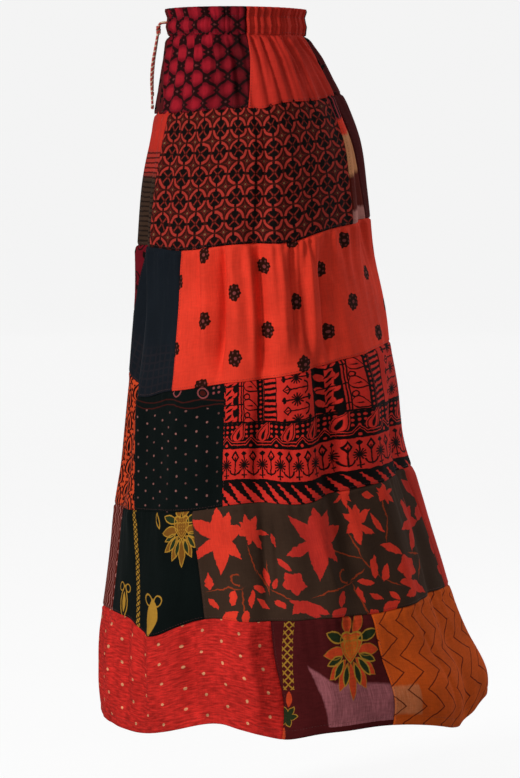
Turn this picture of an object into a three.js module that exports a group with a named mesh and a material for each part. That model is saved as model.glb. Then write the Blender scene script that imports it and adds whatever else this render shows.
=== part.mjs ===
// A maxi skirt of printed patches, worn and mid stride, in millimetres with +Z up.
// The wearer faces -Y, so the wearer's left side is +X. The origin is the middle of the waist,
// halfway up the elastic band. Angles go round the skirt from the centre front (0) over the
// left side (90) and the centre back (180) to the right side (270).
// The band and the six tiers below it are each sewn from patches, and every patch is a closed
// wall of cloth. A point of it comes from the outline at its height and from how far the folds
// and gathers push the cloth out from that outline.

import * as THREE from "three";

// Walls of one cloth and of the band, which holds the elastic, and the gap at every seam
const CLOTH = 1.5;
const BAND_CLOTH = 3.6;
const SEAM_GAP = 0.3;

// Columns that a leaning edge has passed lie beside it, this many degrees apart
const EDGE_STEP = 0.08;

// Outline of the cloth at each height: its distance from the waist's centre on four sides
const OUTLINE = [
  { z: 18, front: 86, back: 83, left: 124, right: 124 },
  { z: -16, front: 85, back: 84, left: 126, right: 126 },
  { z: -45, front: 90, back: 103, left: 141, right: 140 },
  { z: -105, front: 101, back: 133, left: 164, right: 162 },
  { z: -150, front: 109, back: 150, left: 178, right: 175 },
  { z: -205, front: 117, back: 158, left: 190, right: 187 },
  { z: -280, front: 122, back: 167, left: 203, right: 200 },
  { z: -350, front: 124, back: 180, left: 213, right: 210 },
  { z: -450, front: 134, back: 199, left: 226, right: 223 },
  { z: -535, front: 142, back: 209, left: 238, right: 234 },
  { z: -600, front: 151, back: 229, left: 248, right: 243 },
  { z: -660, front: 157, back: 247, left: 256, right: 251 },
  { z: -716, front: 164, back: 264, left: 263, right: 258 },
  { z: -755, front: 170, back: 280, left: 268, right: 263 },
  { z: -811, front: 172, back: 307, left: 274, right: 269 },
  { z: -870, front: 171, back: 301, left: 276, right: 271 },
];

// Height of each seam, and of the two free edges, on four sides
const SEAMS = {
  top: { front: 17, left: 17.5, back: 16, right: 17.5 },
  band: { front: -16, left: -16, back: -16, right: -16 },
  yoke: { front: -112, left: -103, back: -87, right: -103 },
  hip: { front: -273, left: -264, back: -240, right: -264 },
  thigh: { front: -452, left: -427, back: -393, right: -428 },
  knee: { front: -596, left: -574, back: -549, right: -573 },
  shin: { front: -723, left: -711, back: -698, right: -708 },
  hem: { front: -860, left: -843, back: -851, right: -850 },
};

// Where a fold carries a seam up or down: its middle and spread in degrees, its rise in mm
const SWAYS = [
  { seam: "yoke", angle: 97, spread: 7, rise: -4 },
  { seam: "yoke", angle: 135, spread: 14, rise: -3 },
  { seam: "yoke", angle: 262, spread: 15, rise: -4 },
  { seam: "hip", angle: 52, spread: 16, rise: -4.5 },
  { seam: "hip", angle: 106, spread: 14, rise: -6 },
  { seam: "hip", angle: 290, spread: 15, rise: -6 },
  { seam: "thigh", angle: 2, spread: 11, rise: 26 },
  { seam: "thigh", angle: 31, spread: 9, rise: -7 },
  { seam: "thigh", angle: 72, spread: 14, rise: 3 },
  { seam: "thigh", angle: 236, spread: 14, rise: 7 },
  { seam: "thigh", angle: 312, spread: 14, rise: -5 },
  { seam: "knee", angle: 80, spread: 12, rise: 5 },
  { seam: "knee", angle: 103, spread: 9, rise: -4.5 },
  { seam: "knee", angle: 214, spread: 14, rise: -6 },
  { seam: "knee", angle: 300, spread: 16, rise: -7 },
  { seam: "shin", angle: 46, spread: 10, rise: -18.5 },
  { seam: "shin", angle: 68, spread: 10, rise: 5 },
  { seam: "shin", angle: 125, spread: 12, rise: -3.5 },
  { seam: "shin", angle: 238, spread: 15, rise: -9 },
  { seam: "shin", angle: 296, spread: 13, rise: 7 },
  { seam: "hem", angle: 38, spread: 12, rise: -6 },
  { seam: "hem", angle: 66, spread: 11, rise: 11 },
  { seam: "hem", angle: 88, spread: 7, rise: -8 },
  { seam: "hem", angle: 118, spread: 15, rise: 5 },
  { seam: "hem", angle: 150, spread: 12, rise: -10 },
  { seam: "hem", angle: 173, spread: 8, rise: 15 },
  { seam: "hem", angle: 214, spread: 12, rise: -8 },
  { seam: "hem", angle: 262, spread: 14, rise: -7 },
  { seam: "hem", angle: 312, spread: 13, rise: 10 },
];

// The largest folds, soft ridges (depth over 0) and troughs (under 0): where each runs, as an
// angle at its top and foot, its spread in degrees, its depth in mm and its two heights
const FOLDS = [
  { top: 92, foot: 86, spread: 4.5, depth: -9, from: -70, to: -900 },
  { top: 100, foot: 97, spread: 7, depth: 5, from: -90, to: -900 },
  { top: 32, foot: 27, spread: 5, depth: 5, from: -60, to: -640 },
  { top: 21, foot: 14, spread: 4.5, depth: -9, from: -50, to: -620 },
  { top: 9, foot: 5, spread: 5, depth: 4, from: -120, to: -880 },
  { top: 153, foot: 146, spread: 4, depth: 6, from: -14, to: -300 },
  { top: 164, foot: 160, spread: 4.5, depth: -8, from: -14, to: -330 },
  { top: 176, foot: 172, spread: 5, depth: 4, from: -20, to: -420 },
  { top: 71, foot: 67, spread: 5, depth: -6, from: -250, to: -900 },
  { top: 80, foot: 77, spread: 5, depth: 4, from: -240, to: -900 },
  { top: 54, foot: 49, spread: 7, depth: 6, from: -420, to: -900 },
  { top: 113, foot: 118, spread: 4.5, depth: -10, from: -260, to: -700 },
  { top: 107, foot: 108, spread: 5, depth: 6, from: -360, to: -900 },
  { top: 128, foot: 127, spread: 6, depth: -7, from: -250, to: -480 },
  { top: 140, foot: 138, spread: 7, depth: 7, from: -380, to: -900 },
  { top: 163, foot: 156, spread: 5, depth: -10, from: -420, to: -900 },
  { top: 178, foot: 175, spread: 8, depth: 6, from: -500, to: -900 },
  { top: 196, foot: 198, spread: 6, depth: -9, from: -60, to: -900 },
  { top: 210, foot: 214, spread: 8, depth: 7, from: -120, to: -900 },
  { top: 225, foot: 230, spread: 6, depth: -9, from: -90, to: -900 },
  { top: 243, foot: 247, spread: 8, depth: 7, from: -250, to: -900 },
  { top: 258, foot: 262, spread: 6, depth: -9, from: -60, to: -900 },
  { top: 276, foot: 279, spread: 8, depth: 6, from: -200, to: -900 },
  { top: 292, foot: 295, spread: 6, depth: -8, from: -80, to: -900 },
  { top: 309, foot: 312, spread: 8, depth: 6, from: -240, to: -900 },
  { top: 325, foot: 327, spread: 6, depth: -8, from: -60, to: -900 },
  { top: 342, foot: 345, spread: 7, depth: 5, from: -180, to: -900 },
];
const FOLD_FADE = 70;

// Columns of cloth round the skirt where seams are bent; every tier has this many or a multiple
const SEAM_STEPS = 80;

// Each tier: the seams it hangs between, its walls, how its cloth is sampled, and its gathers.
// Rows are shares of the way down. The gathers rise over the first few mm under the seam, die
// away over reach and leave foot.
const TIERS = [
  { name: "band", upper: "top", lower: "band", wall: BAND_CLOTH, columns: 240,
    rows: [0, 0.34, 0.67, 1], gathers: 60, depth: 1.5, rise: 0, reach: 400, foot: 1.2 },
  { name: "yoke", upper: "band", lower: "yoke", wall: CLOTH, columns: 160,
    rows: [0, 0.17, 0.52, 1], gathers: 40, depth: 3.4, rise: 8, reach: 52, foot: 0.5 },
  { name: "hip", upper: "yoke", lower: "hip", wall: CLOTH, columns: 80,
    rows: [0, 0.33, 0.67, 1], gathers: 16, depth: 1.2, rise: 12, reach: 60, foot: 0.4 },
  { name: "thigh", upper: "hip", lower: "thigh", wall: CLOTH, columns: 160,
    rows: [0, 0.13, 0.5, 1], gathers: 38, depth: 2.6, rise: 9, reach: 42, foot: 0.3 },
  { name: "knee", upper: "thigh", lower: "knee", wall: CLOTH, columns: 80,
    rows: [0, 0.3, 0.65, 1], gathers: 14, depth: 1.4, rise: 12, reach: 60, foot: 0.4 },
  { name: "shin", upper: "knee", lower: "shin", wall: CLOTH, columns: 80,
    rows: [0, 0.3, 0.65, 1], gathers: 16, depth: 1.8, rise: 12, reach: 60, foot: 0.5 },
  { name: "hem", upper: "shin", lower: "hem", wall: CLOTH, columns: 80,
    rows: [0, 0.25, 0.62, 1], gathers: 14, depth: 2.2, rise: 12, reach: 80, foot: 1.2 },
];

// The band is pinched at its two rows of stitches and swells over the elastic between them
const BAND_SWELL = [
  { z: 18, out: 1.4 },
  { z: 6, out: -0.7 },
  { z: -5, out: 1.2 },
  { z: -16, out: -0.5 },
];

// The cloths that the patches are cut from, with the ground colour of each
const CLOTHS = {
  net_crimson: "#8f1420",
  plain_scarlet: "#c8281c",
  shadow_maroon: "#4a1018",
  ring_trellis: "#3a120e",
  sunset_tan: "#c4784a",
  striped_brown: "#7a2418",
  scroll_pink: "#9c2030",
  plain_navy: "#14181f",
  sprig_scarlet: "#d8321f",
  paisley_orange: "#c83a1c",
  pin_dot_black: "#0e1716",
  border_red: "#b82a20",
  zigzag_maroon: "#5a1c1c",
  gilt_black: "#0c1312",
  flower_brown: "#4a2c20",
  dot_red: "#cc2a20",
  gilt_maroon: "#561420",
  zigzag_ochre: "#bc5a18",
};
const CORD_COLOUR = "#a83a2c";

// The patches of each tier: the angle of each patch's first edge at its top and at its foot.
// Its other edge is the next patch's first edge, and the last patch ends at the first.
const PATCHES = {
  yoke: [
    { from: 16, foot: 18, cloth: "net_crimson" },
    { from: 99, foot: 89, cloth: "plain_scarlet" },
    { from: 168, foot: 166, cloth: "shadow_maroon" },
    { from: 222, foot: 224, cloth: "flower_brown" },
    { from: 288, foot: 286, cloth: "sprig_scarlet" },
    { from: 336, foot: 338, cloth: "shadow_maroon" },
  ],
  hip: [
    { from: 34, foot: 30, cloth: "ring_trellis" },
    { from: 147, foot: 146, cloth: "sunset_tan" },
    { from: 166, foot: 168, cloth: "gilt_maroon" },
    { from: 234, foot: 231, cloth: "pin_dot_black" },
    { from: 298, foot: 300, cloth: "zigzag_ochre" },
    { from: 346, foot: 344, cloth: "striped_brown" },
  ],
  thigh: [
    { from: 15, foot: -1, cloth: "plain_navy" },
    { from: 51, foot: 48, cloth: "sprig_scarlet" },
    { from: 202, foot: 206, cloth: "border_red" },
    { from: 262, foot: 260, cloth: "ring_trellis" },
    { from: 322, foot: 319, cloth: "scroll_pink" },
  ],
  knee: [
    { from: 25, foot: 31, cloth: "pin_dot_black" },
    { from: 73, foot: 73, cloth: "border_red" },
    { from: 192, foot: 190, cloth: "plain_navy" },
    { from: 250, foot: 252, cloth: "dot_red" },
    { from: 316, foot: 314, cloth: "paisley_orange" },
  ],
  shin: [
    { from: 16, foot: 17, cloth: "gilt_black" },
    { from: 61, foot: 65, cloth: "flower_brown" },
    { from: 168, foot: 171, cloth: "plain_scarlet" },
    { from: 230, foot: 228, cloth: "scroll_pink" },
    { from: 290, foot: 293, cloth: "net_crimson" },
    { from: 338, foot: 336, cloth: "zigzag_maroon" },
  ],
  hem: [
    { from: 87.5, foot: 87, cloth: "gilt_maroon" },
    { from: 122, foot: 120, cloth: "zigzag_ochre" },
    { from: 196, foot: 198, cloth: "gilt_black" },
    { from: 262, foot: 260, cloth: "paisley_orange" },
    { from: 330, foot: 332, cloth: "dot_red" },
  ],
};

// The band is cut from the yoke's cloths, and its seams meet the yoke's
PATCHES.band = PATCHES.yoke.map((patch) => ({ ...patch, foot: patch.from }));

// Drawstring: it leaves the band on both sides of the centre front, is tied and hangs
const CORD = 3;
const CORD_SIDES = 8;
const CORD_STEP = 7;
const CORD_LEFT = [
  [12.5, -86.45, 1],
  [12, -90, 0.9],
  [9, -94, 0.4],
  [4.4, -96.8, -2],
  [2.2, -97.8, -8],
  [2.6, -99.6, -18],
  [3.6, -102.2, -32],
  [4.6, -105.4, -50],
  [5, -106.8, -70],
  [4.6, -106, -88],
  [4.2, -105.5, -100],
];
const CORD_RIGHT = [
  [-12.5, -86.35, 1],
  [-12, -90, 0.9],
  [-9, -94, 0.4],
  [-4.4, -96.8, -2],
  [-2.2, -97.8, -8],
  [-3, -99.2, -18],
  [-4.8, -101.4, -32],
  [-7, -103.8, -48],
  [-8.6, -105.4, -68],
  [-9.2, -105.6, -84],
];
const KNOT = { y: -97.9, z: -8, ring: 5.9, thick: 1.8, flat: 0.66 };
const END_KNOT = { radius: 2.9, height: 7 };

const radians = THREE.MathUtils.degToRad;
const smooth = (t) => THREE.MathUtils.smoothstep(t, 0, 1);

// A difference of two angles in degrees, from -180 to 180
function turn(a, b) {
  return ((((a - b) % 360) + 540) % 360) - 180;
}

// A value given on four sides, carried round the skirt without a corner
function around(side, angle) {
  const a = radians(angle);
  const mean = (side.front + side.left + side.back + side.right) / 4;
  const across = (side.front + side.back - side.left - side.right) / 4;
  const fore = (side.front - side.back) / 2;
  const sideways = (side.left - side.right) / 2;
  return mean + fore * Math.cos(a) + sideways * Math.sin(a) + across * Math.cos(2 * a);
}

function seamBend(seam, angle) {
  let z = around(SEAMS[seam], angle);
  for (const sway of SWAYS) {
    if (sway.seam !== seam) continue;
    z += sway.rise * Math.exp(-((turn(angle, sway.angle) / sway.spread) ** 2));
  }
  return z;
}

// Both tiers at a seam follow one line, straight between the columns that they share
function seamHeight(seam, angle) {
  const step = 360 / SEAM_STEPS;
  const first = Math.floor(angle / step) * step;
  const share = (angle - first) / step;
  return THREE.MathUtils.lerp(seamBend(seam, first), seamBend(seam, first + step), share);
}

// One column of the outline table at a height, as a smooth curve through the rows
function outlineAt(column, z) {
  const last = OUTLINE.length - 1;
  const height = THREE.MathUtils.clamp(z, OUTLINE[last].z, OUTLINE[0].z);
  const i = Math.min(OUTLINE.findIndex((row, k) => k > 0 && height >= row.z) - 1, last - 1);
  const slope = (k) => {
    const above = OUTLINE[Math.max(k - 1, 0)];
    const below = OUTLINE[Math.min(k + 1, last)];
    return (below[column] - above[column]) / (below.z - above.z);
  };
  const span = OUTLINE[i + 1].z - OUTLINE[i].z;
  const t = (height - OUTLINE[i].z) / span;
  const [start, end] = [OUTLINE[i][column], OUTLINE[i + 1][column]];
  const leave = slope(i) * span;
  const arrive = slope(i + 1) * span;
  return (
    (2 * t ** 3 - 3 * t ** 2 + 1) * start + (t ** 3 - 2 * t ** 2 + t) * leave +
    (3 * t ** 2 - 2 * t ** 3) * end + (t ** 3 - t ** 2) * arrive
  );
}

// How far the folds push the cloth out at a point
function foldDepth(angle, z) {
  let depth = 0;
  for (const fold of FOLDS) {
    const along = THREE.MathUtils.clamp((fold.from - z) / (fold.from - fold.to), 0, 1);
    const middle = THREE.MathUtils.lerp(fold.top, fold.foot, along);
    const fade = smooth((fold.from - z) / FOLD_FADE) * smooth((z - fold.to) / FOLD_FADE);
    depth += fold.depth * fade * Math.exp(-((turn(angle, middle) / fold.spread) ** 2));
  }
  return depth;
}

// How far the gathers of a tier push the cloth out, with their spacing made uneven
function gatherDepth(tier, angle, drop) {
  const a = radians(angle);
  const uneven = 0.9 * Math.sin(3 * a + tier.gathers) + 0.7 * Math.sin(7 * a) + 0.5 * Math.sin(13 * a);
  const height = tier.depth * Math.exp(-drop / tier.reach) * (tier.rise ? smooth(drop / tier.rise) : 1);
  return Math.max(height, tier.foot * smooth(drop / 20)) * Math.cos(tier.gathers * a + uneven);
}

// How far the band's cloth stands out at a height, straight between the rows of its table
function bandSwell(z) {
  const i = Math.max(1, BAND_SWELL.findIndex((row) => z >= row.z));
  const [above, below] = [BAND_SWELL[i - 1], BAND_SWELL[i]];
  return THREE.MathUtils.mapLinear(z, above.z, below.z, above.out, below.out);
}

// A point of the cloth: out is its distance from the outer face
function clothPoint(tier, angle, z, drop, out) {
  const a = radians(angle);
  const front = outlineAt("front", z);
  const back = outlineAt("back", z);
  const wide = outlineAt(Math.sin(a) >= 0 ? "left" : "right", z);
  const deep = (front + back) / 2;
  const middle = (back - front) / 2;
  const normal = new THREE.Vector2(Math.sin(a) / wide, -Math.cos(a) / deep).normalize();
  const swell = tier.name === "band" ? bandSwell(Math.max(z, BAND_SWELL[3].z)) : 0;
  const push = foldDepth(angle, z) + gatherDepth(tier, angle, drop) + swell + out;
  return new THREE.Vector3(
    wide * Math.sin(a) + normal.x * push,
    middle - deep * Math.cos(a) + normal.y * push,
    z,
  );
}

// The angle that half a seam gap takes up at a point
function gapAngle(angle, z) {
  const a = radians(angle);
  const deep = (outlineAt("front", z) + outlineAt("back", z)) / 2;
  const wide = outlineAt("left", z);
  const perRadian = Math.hypot(wide * Math.cos(a), deep * Math.sin(a));
  return THREE.MathUtils.radToDeg(SEAM_GAP / 2 / perRadian);
}

// The angles at which one row of a patch is sampled, share of the way down its tier: the columns
// of the tier, and the two edges. Columns that a leaning edge has passed are gathered beside it.
function rowAngles(tier, first, last, share) {
  const left = THREE.MathUtils.lerp(first.from, first.foot, share);
  const right = THREE.MathUtils.lerp(last.from, last.foot, share);
  const start = Math.min(first.from, first.foot) + EDGE_STEP * 2;
  const end = Math.max(last.from, last.foot) - EDGE_STEP * 2;
  const step = 360 / tier.columns;
  const count = Math.max(0, Math.ceil(end / step) - Math.ceil(start / step));
  const inner = Array.from({ length: count }, (_, i) => {
    const column = (Math.ceil(start / step) + i) * step;
    const low = left + EDGE_STEP * (i + 1);
    return THREE.MathUtils.clamp(column, low, right - EDGE_STEP * (count - i));
  });
  return [left, ...inner, right];
}

// A patch of a tier between its own first edge and the next patch's, as a closed wall
function patchGeometry(tier, first, last) {
  const columns = rowAngles(tier, first, last, 0).length - 1;
  const rows = tier.rows.length - 1;
  const grid = (out) =>
    tier.rows.map((share) =>
      rowAngles(tier, first, last, share).map((plain, i) => {
        const upper = seamHeight(tier.upper, plain) - SEAM_GAP / 2;
        const lower = seamHeight(tier.lower, plain) + SEAM_GAP / 2;
        const z = THREE.MathUtils.lerp(upper, lower, share);
        const edge = i === 0 ? 1 : i === columns ? -1 : 0;
        const angle = plain + edge * gapAngle(plain, z);
        return clothPoint(tier, angle, z, upper - z, out);
      }),
    );
  const layers = [grid(0), grid(-tier.wall)];
  const points = layers.flat(2);
  const at = (layer, row, column) => (layer * (rows + 1) + row) * (columns + 1) + column;
  const faces = [];
  const quad = (a, b, c, d) => faces.push(a, b, c, a, c, d);
  for (let r = 0; r < rows; r++) {
    for (let c = 0; c < columns; c++) {
      quad(at(0, r, c), at(0, r + 1, c), at(0, r + 1, c + 1), at(0, r, c + 1));
      quad(at(1, r, c), at(1, r, c + 1), at(1, r + 1, c + 1), at(1, r + 1, c));
    }
    quad(at(0, r, 0), at(1, r, 0), at(1, r + 1, 0), at(0, r + 1, 0));
    quad(at(0, r, columns), at(0, r + 1, columns), at(1, r + 1, columns), at(1, r, columns));
  }
  for (let c = 0; c < columns; c++) {
    quad(at(0, 0, c), at(0, 0, c + 1), at(1, 0, c + 1), at(1, 0, c));
    quad(at(0, rows, c), at(1, rows, c), at(1, rows, c + 1), at(0, rows, c + 1));
  }
  return new THREE.BufferGeometry().setFromPoints(points).setIndex(faces);
}

function clothMaterial(colour) {
  return new THREE.MeshStandardMaterial({ color: colour, roughness: 0.9, metalness: 0 });
}

// All patches of one tier, numbered round the skirt from the wearer's front left
function tierGroup(tier) {
  const group = new THREE.Group();
  const patches = PATCHES[tier.name];
  patches.forEach((patch, i) => {
    const ahead = patches[(i + 1) % patches.length];
    const lap = i + 1 < patches.length ? 0 : 360;
    const next = { from: ahead.from + lap, foot: ahead.foot + lap };
    const mesh = new THREE.Mesh(
      patchGeometry(tier, patch, next),
      clothMaterial(CLOTHS[patch.cloth]),
    );
    mesh.name = `${tier.name}_${i + 1}_${patch.cloth}`;
    group.add(mesh);
  });
  return group;
}

// A round cord along points chosen by hand
function cordGeometry(route) {
  const path = new THREE.CatmullRomCurve3(route.map((p) => new THREE.Vector3(...p)));
  const section = new THREE.Shape(
    Array.from({ length: CORD_SIDES }, (_, i) => {
      const a = (i / CORD_SIDES) * 2 * Math.PI;
      return new THREE.Vector2((Math.cos(a) * CORD) / 2, (Math.sin(a) * CORD) / 2);
    }),
  );
  const steps = Math.ceil(path.getLength() / CORD_STEP);
  return new THREE.ExtrudeGeometry(section, { steps, extrudePath: path, bevelEnabled: false });
}

// The knot that ties both cords: one turn of cord round the pair
function knotMesh() {
  const geometry = new THREE.TorusGeometry(KNOT.ring, KNOT.thick, 8, 24);
  geometry.scale(1, KNOT.flat, 1);
  const mesh = new THREE.Mesh(geometry, clothMaterial(CORD_COLOUR));
  mesh.name = "drawstring_knot";
  mesh.position.set(0, KNOT.y, KNOT.z);
  return mesh;
}

// The small knot at the foot of a cord, face to face with the cord's end
function endKnotMesh(name, route) {
  const half = END_KNOT.height / 2;
  const profile = [
    [0, -half],
    [END_KNOT.radius * 0.75, -half],
    [END_KNOT.radius, 0],
    [END_KNOT.radius * 0.7, half],
    [0, half],
  ];
  const geometry = new THREE.LatheGeometry(profile.map((p) => new THREE.Vector2(...p)), 12);
  geometry.rotateX(Math.PI / 2);
  const mesh = new THREE.Mesh(geometry, clothMaterial(CORD_COLOUR));
  const [x, y, z] = route[route.length - 1];
  mesh.name = name;
  mesh.position.set(x, y, z - half - SEAM_GAP);
  return mesh;
}

function cordMesh(name, route) {
  const mesh = new THREE.Mesh(cordGeometry(route), clothMaterial(CORD_COLOUR));
  mesh.name = name;
  return mesh;
}

function drawstringGroup() {
  const group = new THREE.Group();
  group.add(cordMesh("drawstring_left", CORD_LEFT));
  group.add(cordMesh("drawstring_right", CORD_RIGHT));
  group.add(knotMesh());
  group.add(endKnotMesh("drawstring_end_left", CORD_LEFT));
  group.add(endKnotMesh("drawstring_end_right", CORD_RIGHT));
  return group;
}

const skirt = new THREE.Group();
for (const tier of TIERS) skirt.add(tierGroup(tier));
skirt.add(drawstringGroup());

export default skirt;
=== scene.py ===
import ast
import math

import bpy
import numpy as np
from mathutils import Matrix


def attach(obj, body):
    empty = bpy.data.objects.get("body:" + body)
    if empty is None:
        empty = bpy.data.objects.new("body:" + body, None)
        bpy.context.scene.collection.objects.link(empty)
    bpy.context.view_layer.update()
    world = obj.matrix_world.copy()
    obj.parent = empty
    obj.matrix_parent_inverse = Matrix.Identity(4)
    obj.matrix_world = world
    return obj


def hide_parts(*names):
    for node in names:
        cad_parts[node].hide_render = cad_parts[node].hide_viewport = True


bl_info = {
    "name": "Patchwork maxi skirt",
    "version": (1, 0, 0),
    "blender": (4, 5, 0),
    "location": "3D View > Sidebar > Skirt",
    "description": "Builds a worn tiered skirt of printed patches on its packed frame",
    "category": "Add Mesh",
}

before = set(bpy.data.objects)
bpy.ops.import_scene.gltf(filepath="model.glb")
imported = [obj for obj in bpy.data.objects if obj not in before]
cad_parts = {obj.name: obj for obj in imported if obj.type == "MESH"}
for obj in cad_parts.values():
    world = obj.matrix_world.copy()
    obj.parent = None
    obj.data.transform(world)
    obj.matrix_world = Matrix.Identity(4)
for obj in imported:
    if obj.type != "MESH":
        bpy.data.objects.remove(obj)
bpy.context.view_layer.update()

# All tables are in millimetres and degrees. Angles go round the skirt from the centre front (0)
# over the wearer's left side (90) and the centre back (180) to the right side (270).

# Outline of the cloth: height, then its distance from the waist's centre to front, back, left
# and right
OUTLINE = np.array([
    (18, 86, 83, 124, 124),
    (-16, 85, 84, 126, 126),
    (-45, 90, 103, 141, 140),
    (-105, 101, 133, 164, 162),
    (-150, 109, 150, 178, 175),
    (-205, 117, 158, 190, 187),
    (-280, 122, 167, 203, 200),
    (-350, 124, 180, 213, 210),
    (-450, 134, 199, 226, 223),
    (-535, 142, 209, 238, 234),
    (-600, 151, 229, 248, 243),
    (-660, 157, 247, 256, 251),
    (-716, 164, 264, 263, 258),
    (-755, 170, 280, 268, 263),
    (-811, 172, 307, 274, 269),
    (-870, 171, 301, 276, 271),
], dtype=float)
FRONT, BACK, LEFT, RIGHT = 1, 2, 3, 4

# Height of each seam and free edge at the front, left, back and right
SEAMS = {
    "top": (17, 17.5, 16, 17.5),
    "band": (-16, -16, -16, -16),
    "yoke": (-112, -103, -87, -103),
    "hip": (-273, -264, -240, -264),
    "thigh": (-452, -427, -393, -428),
    "knee": (-596, -574, -549, -573),
    "shin": (-723, -711, -698, -708),
    "hem": (-860, -843, -851, -850),
}

# Where a fold carries a seam up or down: middle, spread and rise
SWAYS = {
    "yoke": [(97, 7, -4), (135, 14, -3), (262, 15, -4)],
    "hip": [(52, 16, -4.5), (106, 14, -6), (290, 15, -6)],
    "thigh": [(2, 11, 26), (31, 9, -7), (72, 14, 3), (236, 14, 7), (312, 14, -5)],
    "knee": [(80, 12, 5), (103, 9, -4.5), (214, 14, -6), (300, 16, -7)],
    "shin": [(46, 10, -18.5), (68, 10, 5), (125, 12, -3.5), (238, 15, -9), (296, 13, 7)],
    "hem": [(38, 12, -6), (66, 11, 11), (88, 7, -8), (118, 15, 5), (150, 12, -10),
            (173, 8, 15), (214, 12, -8), (262, 14, -7), (312, 13, 10)],
}

# Large folds: angle at the top and the foot, spread, depth (ridges over 0), upper and lower height
FOLDS = [
    (92, 86, 4.5, -9, -70, -900),
    (100, 97, 7, 5, -90, -900),
    (32, 27, 5, 5, -60, -640),
    (21, 14, 4.5, -9, -50, -620),
    (9, 5, 5, 4, -120, -880),
    (153, 146, 4, 6, -14, -300),
    (164, 160, 4.5, -8, -14, -330),
    (176, 172, 5, 4, -20, -420),
    (71, 67, 5, -6, -250, -900),
    (80, 77, 5, 4, -240, -900),
    (54, 49, 7, 6, -420, -900),
    (113, 118, 4.5, -10, -260, -700),
    (107, 108, 5, 6, -360, -900),
    (128, 127, 6, -7, -250, -480),
    (140, 138, 7, 7, -380, -900),
    (163, 156, 5, -10, -420, -900),
    (178, 175, 8, 6, -500, -900),
    (196, 198, 6, -9, -60, -900),
    (210, 214, 8, 7, -120, -900),
    (225, 230, 6, -9, -90, -900),
    (243, 247, 8, 7, -250, -900),
    (258, 262, 6, -9, -60, -900),
    (276, 279, 8, 6, -200, -900),
    (292, 295, 6, -8, -80, -900),
    (309, 312, 8, 6, -240, -900),
    (325, 327, 6, -8, -60, -900),
    (342, 345, 7, 5, -180, -900),
]
FOLD_FADE = 70

# Creases in the cloth that are too narrow for the frame: from an angle and height to another,
# half width and depth (ridges over 0)
CREASES = [
    (92.5, -250, 90, -445, 5.5, -8.5),
    (94, -422, 92.5, -580, 8.0, -7.0),
    (65, -250, 64.5, -430, 6.0, 4.5),
    (88, -250, 86.5, -440, 5.0, 6.5),
    (86, -430, 83, -570, 6.0, 4.0),
    (102, -250, 100.5, -410, 5.0, 5.0),
    (107.5, -250, 106, -410, 5.0, -7.0),
    (117, -250, 114, -430, 7.0, 9.0),
    (124.5, -250, 121, -430, 7.0, -8.0),
    (90.5, -95, 89.5, -262, 5.0, 7.0),
    (21, -720, 22, -850, 8.0, 4.0),
    (31.5, -720, 31.5, -850, 7.0, -5.5),
    (37, -715, 37, -850, 7.0, 3.5),
    (46.5, -700, 46.5, -850, 11.0, 6.5),
    (59.5, -700, 59.5, -850, 11.0, -9.5),
    (80.5, -705, 80, -850, 7.0, 5.0),
    (88, -705, 87.5, -850, 6.0, -4.0),
    (92.5, -575, 91, -705, 5.0, -5.0),
    (74.5, -245, 69.5, -436, 4.8, -14.0),
    (79, -262, 80, -390, 7.0, 2.4),
    (97.5, -95, 96, -262, 5.5, -9.0),
    (121, -405, 122, -570, 8.0, -9.0),
    (62, -275, 60, -420, 3.5, -1.8),
    (80.5, -262, 81, -345, 1.6, -1.6),
    (85, -262, 83, -300, 1.6, -1.4),
    (69, -28, 68, -112, 6.0, -5.0),
    (86, -28, 84, -112, 6.0, -6.0),
    (76, -268, 76, -410, 3.0, -1.6),
    (100, -275, 103, -400, 4.0, -1.6),
    (86, -372, 112, -366, 2.5, -1.2),
    (84, -414, 110, -408, 2.5, -1.2),
    (44, -280, 40, -430, 6.0, 2.2),
    (120, -270, 133, -330, 4.0, 1.6),
    (108, -120, 113, -255, 5.0, 2.0),
    (84, -125, 80, -255, 4.0, -1.6),
    (60, -115, 66, -255, 5.0, 1.8),
    (128, -30, 133, -100, 3.5, 1.8),
    (110, -22, 104, -96, 3.5, -1.5),
    (70, -26, 74, -105, 3.5, 1.5),
    (98, -440, 102, -560, 4.0, -1.8),
    (124, -430, 121, -560, 4.0, -2.0),
    (88, -575, 86.5, -705, 5.0, -5.0),
    (106, -585, 111, -700, 5.0, 2.0),
    (60, -600, 57, -715, 4.0, -1.6),
    (64, -735, 60, -835, 5.0, 2.2),
    (76, -730, 80, -830, 5.0, -2.0),
    (104, -725, 100, -840, 6.0, 2.0),
    (140, -715, 146, -840, 5.0, -2.2),
    (204, -120, 206, -230, 5.0, 1.8),
    (214, -270, 219, -390, 4.0, -1.8),
    (236, -110, 232, -250, 4.5, 1.8),
    (252, -290, 256, -420, 4.0, -1.6),
    (268, -120, 270, -240, 4.0, -1.8),
    (285, -280, 283, -430, 5.0, 2.0),
    (301, -130, 304, -260, 4.0, -1.6),
    (318, -290, 321, -440, 4.0, 1.8),
    (334, -120, 337, -260, 4.0, -1.6),
    (350, -300, 352, -440, 4.0, -1.8),
    (208, -450, 212, -540, 5.0, 2.0),
    (234, -460, 238, -560, 4.0, -1.8),
    (270, -450, 274, -565, 4.5, 2.0),
    (300, -470, 303, -580, 4.0, -1.8),
    (333, -470, 336, -590, 5.0, 1.8),
    (221, -600, 226, -690, 4.0, -2.0),
    (255, -595, 251, -700, 5.0, 2.0),
    (288, -600, 292, -705, 4.0, -1.8),
    (318, -610, 322, -710, 5.0, 2.0),
    (206, -720, 203, -840, 5.0, -2.0),
    (240, -720, 244, -840, 5.0, 2.2),
    (272, -725, 276, -840, 5.0, -2.0),
    (303, -720, 299, -845, 5.0, 2.0),
    (345, -735, 349, -850, 5.0, -2.0),
]

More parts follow.
